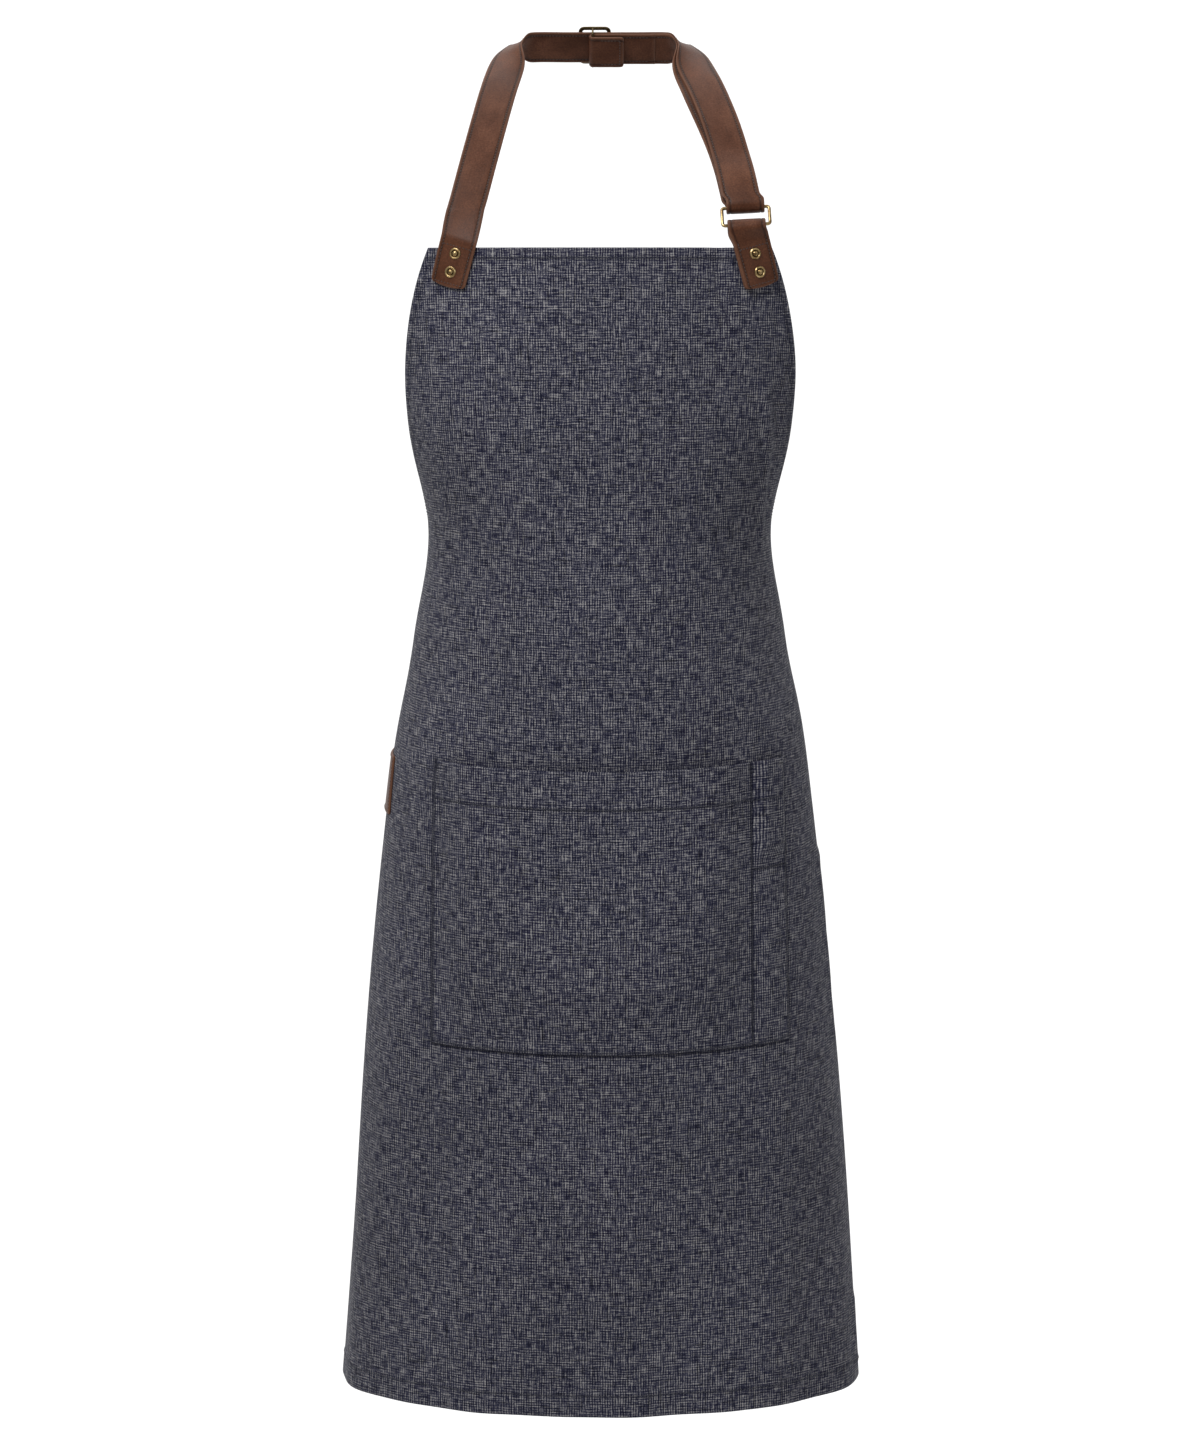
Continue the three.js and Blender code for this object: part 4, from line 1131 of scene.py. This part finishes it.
def make_strap_loop():
    """The inner layer's free end, turned round the slider's middle bar and stitched to itself."""
    radius = SLIDER["bar"] / 2 + CLEAR + STRAP_THICK / 2
    near_x = np.linspace(SLIDER["reach"], SLIDER["bar_x"], 12)
    near = np.array([vec(x, 0, MIDDLE_BAR_Z - radius) for x in near_x])
    turn = np.array([
        vec(SLIDER["bar_x"] - radius * math.sin(a), 0, MIDDLE_BAR_Z - radius * math.cos(a))
        for a in np.linspace(0, math.pi, 12)
    ])[1:]
    far_x = np.linspace(SLIDER["bar_x"], JOIN_X + 2, 26)[1:]
    rise = (-LAYER - MIDDLE_BAR_Z - radius) * ease((far_x - 14) / 16)
    far = np.stack([far_x, 0 * far_x, MIDDLE_BAR_Z + radius + rise], -1)
    points = np.vstack([near, turn, far]) @ NAPE_FRAME.T
    run = Run(points, np.repeat(-OUTWARD_NAPE[None], len(points), 0))
    loop = leather_strip("strap_loop_leather", run, ["strap_loop_end"], ends=(2.5, 0))
    stop = run.length - 4
    rows = leather_edge_stitches(run, 2, SLIDER["reach"] - SLIDER["bar_x"] - 4)
    rows += leather_edge_stitches(run, stop - 42, stop)
    rows += leather_cross_stitches(run, LEATHER_STITCH)
    thread = sew("strap_loop_stitches", rows, LEATHER_THREAD, BROWN_THREAD)
    for piece in (loop, thread):
        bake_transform(piece)


# ---------------------------------------------------------------- brass pieces
WIRE_SIDES = 16
WIRE_ANGLES = np.arange(WIRE_SIDES) * 2 * math.pi / WIRE_SIDES
SQUARENESS = 2.6  # of a wire's section, where 2 is an ellipse


def swept(name, middles, sides, ups, half_wide, half_high):
    """A closed bent wire through the middles, with a rounded section of the given half sizes."""
    cos, sin = np.cos(WIRE_ANGLES), np.sin(WIRE_ANGLES)
    x = np.sign(cos) * np.abs(cos) ** (2 / SQUARENESS) * half_wide
    y = np.sign(sin) * np.abs(sin) ** (2 / SQUARENESS) * half_high
    rings = middles[:, None] + sides[:, None] * x[None, :, None] + ups[:, None] * y[None, :, None]
    points = rings.reshape(-1, 3)
    faces = grid_faces(len(middles) + 1, WIRE_SIDES, wrap=True) % len(points)
    faces = facing_out(points - points.mean(0), faces)
    uv = paired(WIRE_ANGLES[None] * 1.2, lengths_along(middles)[:, None])
    wear_and_highlight = np.broadcast_to(0.55 + 0.45 * np.abs(np.sin(WIRE_ANGLES + 0.8)), rings.shape[:2])
    return mesh_object(name, points, faces, uv, {"wear_and_highlight": wear_and_highlight})


def rounded_path(half_wide, half_high, corner, step=0.8):
    """Points of a rounded rectangle in its own plane, and their outward directions."""
    corners = ((1, 1), (-1, 1), (-1, -1), (1, -1))
    points, outward = [], []
    for k, (right, up) in enumerate(corners):
        middle = vec(right * (half_wide - corner), up * (half_high - corner))
        for angle in np.linspace(k, k + 1, 9) * math.pi / 2:
            outward.append(vec(math.cos(angle), math.sin(angle)))
            points.append(middle + corner * outward[-1])
        right, up = corners[(k + 1) % 4]
        start = points[-1]
        stop = vec(right * (half_wide - corner), up * (half_high - corner)) + corner * outward[-1]
        count = max(int(np.linalg.norm(stop - start) / step), 2)
        for t in np.linspace(0, 1, count + 1)[1:-1]:
            points.append(lerp(start, stop, t))
            outward.append(outward[-1])
    return np.array(points), np.array(outward)


def make_ring():
    inner = STRAP_WIDTH + 2 * RING["side_room"]
    wire = RING["wire"]
    flat, outward = rounded_path((inner + wire) / 2, (RING["height"] - wire) / 2, wire * 0.8)
    plane = np.stack([RING_ACROSS, -RING_DOWN])
    middles = RING_MIDDLE + flat @ plane
    sides = outward @ plane
    ups = np.broadcast_to(np.cross(RING_ACROSS, -RING_DOWN), sides.shape)
    ring = swept("ring_brass", middles, sides, ups, wire / 2, wire / 2)
    finish_piece(ring, BRASS_LOOK, "ring", ["strap_ring"])


FRAME_LIFT = 0.65  # the frame stands this much farther from the strap than the part's
FRAME_WIDTH = 0.68  # half the frame's width, in shares of the part's rail


def make_slider():
    """A flat frame behind the strap, and a middle bar that reaches round the strap's edges to its neck side.
    Where the part has one piece, the frame is a little wider and stands clear of the strap's stitches."""
    span = STRAP_WIDTH + 2 * SLIDER["edge_room"] + SLIDER["rail"]
    half_bar = SLIDER["bar"] / 2
    flat, outward = rounded_path(SLIDER["length"] / 2 - half_bar, span / 2, 3, step=0.5)
    level = np.full(len(flat), SIDE_BAR_Z + FRAME_LIFT)
    middles = np.column_stack([flat[:, 0] + SLIDER["middle"], flat[:, 1], level]) @ NAPE_FRAME.T
    sides = np.column_stack([outward, 0 * level]) @ NAPE_FRAME.T
    ups = np.broadcast_to(AWAY_FROM_NECK, sides.shape)
    frame_wire = swept("slider_frame", middles, sides, ups, SLIDER["rail"] * FRAME_WIDTH, half_bar)
    finish_piece(frame_wire, DARKER_BRASS_LOOK, "slider", ["slider_buckle"])

    # The middle bar's line: down from one rail, across on the neck side, and up to the other rail.
    turn = np.linspace(0, math.pi / 2, 9)
    corner, reach = 1.6, span / 2 + 0.1
    leg = np.linspace(SIDE_BAR_Z, MIDDLE_BAR_Z + corner, 12)[:-1]
    level = np.linspace(reach - corner, 0, 20)[1:]
    half = np.vstack([
        paired(reach, leg),
        paired(reach - corner + corner * np.cos(turn), MIDDLE_BAR_Z + corner - corner * np.sin(turn)),
        paired(level, MIDDLE_BAR_Z),
    ])
    line = np.vstack([half, half[-2::-1] * (-1, 1)])
    tangent = unit(np.gradient(line, axis=0))
    cos, sin = half_bar * np.cos(WIRE_ANGLES), half_bar * np.sin(WIRE_ANGLES)
    y = line[:, :1] - tangent[:, 1:] * cos
    z = line[:, 1:] + tangent[:, :1] * cos
    ring = np.stack([SLIDER["bar_x"] + sin + 0 * y, y, z], -1)
    points = ring.reshape(-1, 3) @ NAPE_FRAME.T
    faces = [face[::-1] for face in tube_faces(len(line), WIRE_SIDES)]
    uv = paired(WIRE_ANGLES[None] * half_bar, lengths_along(line)[:, None])
    bar = mesh_object("slider_bar", points, faces, uv, {"wear_and_highlight": np.full(len(points), 0.7)})
    finish_piece(bar, DARKER_BRASS_LOOK, "slider")


LATHE_SIDES = 40


def lathe(name, profile, place, axis):
    """A turned piece: (radius, height, wear) all round an axis that starts at a place."""
    profile = np.asarray(profile, float)
    axis = unit(axis)
    x = unit(np.cross(axis, vec(0, 0, 1)))
    y = np.cross(axis, x)
    angle = np.arange(LATHE_SIDES) * 2 * math.pi / LATHE_SIDES
    round_it = np.cos(angle)[:, None] * x + np.sin(angle)[:, None] * y
    points = place + profile[:, None, :1] * round_it[None] + profile[:, None, 1:2] * axis
    faces = tube_faces(len(profile), LATHE_SIDES)
    uv = paired(angle[None] * 3, profile[:, :1] + profile[:, 1:2])
    wear_and_highlight = np.repeat(profile[:, 2], LATHE_SIDES)
    return mesh_object(name, points.reshape(-1, 3), faces, uv, {"wear_and_highlight": wear_and_highlight})


def arc_profile(start, stop, bulge, wear, count=9):
    """Profile points from one (radius, height) to another, bulged up by a half sine."""
    t = np.linspace(0, 1, count)
    heights = lerp(start[1], stop[1], t) + bulge * np.sin(math.pi * t)
    return [(r, h, w) for r, h, w in zip(lerp(start[0], stop[0], t), heights, lerp(wear[0], wear[1], t))]


def rivet_profile(reach):
    head, dome, post = RIVET["head"], RIVET["dome"], RIVET["post"]
    return [
        (0.05, -reach, 0.3), (post, -reach, 0.3), (post, -0.25, 0.2),
        (head - 0.5, -0.25, 0.1), (head, -0.1, 0.3), (head, 0.25, 0.8),
        *arc_profile((head - 0.12, 0.5), (head * 0.62, 0.7), 0.5, (1, 0.8)),
        *arc_profile((head * 0.58, 0.35), (head * 0.5, 0.35), -0.15, (0.0, 0.0), 4),
        *arc_profile((head * 0.46, 0.7), (head * 0.22, dome * 0.92), 0.22, (0.6, 0.95)),
        (head * 0.12, dome * 0.99, 1), (0.05, dome, 1),
    ]


def washer_profile():
    washer, thick, hole = RIVET["washer"], RIVET["washer_thick"], RIVET["post"] + 0.1
    return [
        (hole, 0.05, 0.1), (washer - 0.2, 0.05, 0.2), (washer, 0.2, 0.6),
        *arc_profile((washer, thick * 0.5), (washer - 0.5, thick), 0.1, (0.9, 1)),
        *arc_profile((washer - 0.9, thick * 0.9), (hole + 0.9, thick * 0.75), -0.1, (0.5, 0.4)),
        (hole + 0.4, thick, 0.7), (hole, thick * 0.8, 0.3), (hole, 0.05, 0.1),
    ]


def make_rivets():
    for name, side in (("left", -1), ("right", 1)):
        layers = 2 if side > 0 else 1
        for row, drop in zip(("upper", "lower"), END["rivets"]):
            u = side * (END["start_x"] * spread_at(side, BIB_Z) + END["slope"] * drop)
            normal = form_normal(u, drop)
            middle = form_point(u, drop)
            face = PANEL_FACE + layers * LAYER + CLEAR * 0.3
            reach = face + PANEL_FACE + CLEAR + CURVED + RIVET["washer_thick"]
            rivet = lathe(f"rivet_head_{name}_{row}", rivet_profile(reach), middle + normal * face, normal)
            finish_piece(rivet, BRASS_LOOK, "apron", [f"rivet_{name}_{row}"])
            behind = middle - normal * (PANEL_FACE + CLEAR)
            washer = lathe(f"rivet_back_{name}_{row}", washer_profile(), behind, -normal)
            finish_piece(washer, BRASS_LOOK, "apron", [f"rivet_washer_{name}_{row}"])


# ---------------------------------------------------------------- waist ties
TIE_V = CLOTH["armhole"] + TIE["below"] + TIE["width"] / 2
TIE_FACE = PANEL_FACE + CLEAR + CURVED + TIE["thick"] / 2
_, TIE_DEEP, TIE_FRONT = form_at(TIE_V)
TIE_Z = BIB_Z - TIE_V + float(side_rise(CLOTH["skirt_half"], TIE_V))
KNOT_STAND = 1.5
KNOT_MIDDLE = vec(0, 2 * TIE_DEEP - TIE_FRONT + TIE_FACE + KNOT_STAND, TIE_Z)
# Half way round the wearer at the ties' level, from the front.
TIE_ANGLES = ANGLES[int((TIE_V - TABLE_V[0]) / STEP_V)]
BACK_HALF = float(np.interp(math.pi, TIE_ANGLES, np.arange(0, MOST_ARC, STEP_ARC)))


def cloth_strip(kind, side_name, run, width=TIE["width"], ends=(0, 0)):
    """A length of tie with its edge stitches."""
    made = strip(f"{kind}_cloth_{side_name}", run, width, TIE["thick"], 2.2, TIE_STITCH, 0.18, 0.1, ends)
    finish_piece(made, CLOTH_LOOK, "apron", [f"{kind}_{side_name}"])
    stand = TIE["thick"] / 2 - TIE_SUNK
    rows = edge_stitches(run, width, stand, TIE_STITCH, CLOTH_SEWING, 0, run.length - 3)
    thread = sew(f"{kind}_stitches_{side_name}", rows, TIE_THREAD, NAVY_THREAD, "apron")


def make_waist_tie(side_name, side):
    from_u = CLOTH["skirt_half"] - TIE["sewn"]
    us = np.linspace(from_u, BACK_HALF - KNOT["half"] * 0.72, 120)
    far = ease((us - CLOTH["skirt_half"]) / 60)
    v = TIE_V + 1.6 * far * np.sin(us / 23)
    points = form_point(side * us, v)
    normal = form_normal(side * us, v)
    points = points + normal * (TIE_FACE + 0.8 * far * np.sin(us / 13 + side))[:, None]
    tangent = np.gradient(points, axis=0)
    across = unit(np.cross(normal, unit(tangent)))
    cloth_strip("waist_tie", side_name, Run(points, across, smoothing=2))


def make_bow_loop(side_name, side):
    start = 0.8 * KNOT["half"]
    apart = TIE["thick"] / 2 + CLEAR
    across = unit(vec(side * 0.16, 0.1, 1))
    t = np.linspace(0, 1, 130)
    reach = np.sin(math.pi * t)
    lift = np.cos(math.pi * t) * (apart + BOW["open"] * reach)
    out = side * (start + reach * BOW["loop"])
    back = BOW["stand"] + lift - reach**2 + 0.5 * np.sin(9 * t)
    places = np.stack([out, back, -BOW["droop"] * reach**2], -1)
    run = Run(KNOT_MIDDLE + places, np.repeat(across[None], len(t), 0), smoothing=2)
    cloth_strip("bow_loop", side_name, run)


def make_tail(side_name, side):
    width = TIE["width"] * TAIL["narrowing"]
    t = np.linspace(-0.04, 1, 130)
    out = width / 2 + 0.6 + TAIL["spread"] * t + TAIL["wave"] * np.sin(5 * t) - 3 * ease(-t / 0.04)
    back = -0.6 - TAIL["sway"] * t + TAIL["sway"] * np.sin(6 * t)
    places = np.stack([side * out, back, 1.4 - KNOT["tall"] - TAIL["length"] * t], -1)
    twist = 0.22 * np.sin(4.2 * t + side)
    across = unit(np.stack([np.cos(twist), np.sin(twist), 0.12 * side + 0 * t], -1))
    run = Run(KNOT_MIDDLE + places, across, smoothing=2)
    cloth_strip("tie_tail", side_name, run, width, ends=(0, 1.2))


def make_knot():
    """The knot: a rounded lump of cloth over the crossed ties, with folds running over it."""
    rows, cols = 90, 120
    polar = np.linspace(0.02, math.pi - 0.02, rows)[:, None]
    turn = np.linspace(0, 2 * math.pi, cols, endpoint=False)[None]
    x = np.cos(polar)
    ring = np.sin(polar) ** 0.72
    y, z = ring * np.cos(turn), ring * np.sin(turn)
    crease = 0.09 * np.sin(7 * x + 1.8 * y + 0.6 * np.sin(3 * turn)) * ring
    band = 0.1 * np.exp(-(((x - 0.15 * z) / 0.55) ** 4)) - 0.05
    swell = 1 + crease + band + 0.03 * np.sin(13 * x + 5 * z)
    half = KNOT["half"] * 0.97
    deep, tall = y * KNOT["deep"] * 0.93 * swell, z * KNOT["tall"] * 0.93 * swell
    points = KNOT_MIDDLE + np.stack([x * half + 0 * y, deep, tall], -1).reshape(-1, 3)
    uv = paired(turn * KNOT["tall"], x * half)
    knot = mesh_object("tie_knot_cloth", points, tube_faces(rows, cols), uv)
    finish_piece(knot, CLOTH_LOOK, "apron", ["tie_knot"])


make_panel()
make_pocket()
make_label()
make_neck_strap()
make_ring_tab()
make_strap_loop()
make_ring()
make_slider()
make_rivets()
for side_name, side in (("left", -1), ("right", 1)):
    make_waist_tie(side_name, side)
    make_bow_loop(side_name, side)
    make_tail(side_name, side)
make_knot()


# ---------------------------------------------------------------- stage, light and camera
FLOOR_Z = -1.5
DAYLIGHT = 0.32  # strength of the even light from all round
CAMERA = dict(lens=68.06, sensor=24, away=3.15, height=-0.1846, tilt=math.radians(84))


def make_stage():
    """A pale sweep: floor, a wide curve and a wall behind, in metres."""
    pale = {"Base Color": (0.9, 0.9, 0.9), "Roughness": 0.9, "Specular IOR Level": 0.1}
    radius, wall_y = 1.2, 3.2
    angles = np.linspace(0, math.pi / 2, 24)
    profile = [(-7, 0), (wall_y - radius, 0)]
    profile += [(wall_y - radius + radius * math.sin(a), radius * (1 - math.cos(a))) for a in angles[1:]]
    profile += [(wall_y, 7)]
    points = [(x / MM, y / MM, (FLOOR_Z + z) / MM) for y, z in profile for x in (-9, 9)]
    faces = [(2 * i, 2 * i + 1, 2 * i + 3, 2 * i + 2) for i in range(len(profile) - 1)]
    sweep = mesh_object("stage_sweep", points, faces, np.array(points)[:, :2])
    sweep.data.materials.append(Look("pale_sweep").shade(pale))


def area_light(name, power, place, target, size):
    light = bpy.data.lights.new(name, "AREA")
    light.shape = "RECTANGLE"
    light.size, light.size_y = size
    light.energy = power
    made = bpy.data.objects.new(name, light)
    made.location = place
    made.rotation_euler = (Vector(target) - Vector(place)).to_track_quat("-Z", "Y").to_euler()
    bpy.context.scene.collection.objects.link(made)


def make_world():
    world = bpy.data.worlds.new("studio")
    world.use_nodes = True
    backdrop = world.node_tree.nodes["Background"]
    backdrop.inputs["Color"].default_value = (1, 1, 1, 1)
    backdrop.inputs["Strength"].default_value = DAYLIGHT
    bpy.context.scene.world = world


def make_camera():
    camera = bpy.data.cameras.new("camera")
    camera.sensor_fit = "VERTICAL"
    camera.sensor_height = CAMERA["sensor"]
    camera.lens = CAMERA["lens"]
    made = bpy.data.objects.new("camera", camera)
    made.location = (0, -CAMERA["away"], CAMERA["height"])
    made.rotation_euler = (CAMERA["tilt"], 0, 0)
    bpy.context.scene.collection.objects.link(made)
    bpy.context.scene.camera = made


make_stage()
make_world()
area_light("key", power=46, place=(-0.85, -1.45, 1.35), target=(0, 0, -0.15), size=(0.9, 0.9))
area_light("fill", power=13, place=(2.0, -2.2, 0.9), target=(0, 0, -0.3), size=(1.6, 1.6))
area_light("wall", power=120, place=(0, 1.0, 2.6), target=(0, 3.2, -0.2), size=(4, 1.5))
make_camera()
bpy.context.scene.view_settings.view_transform = "Standard"


bpy.context.view_layer.update()
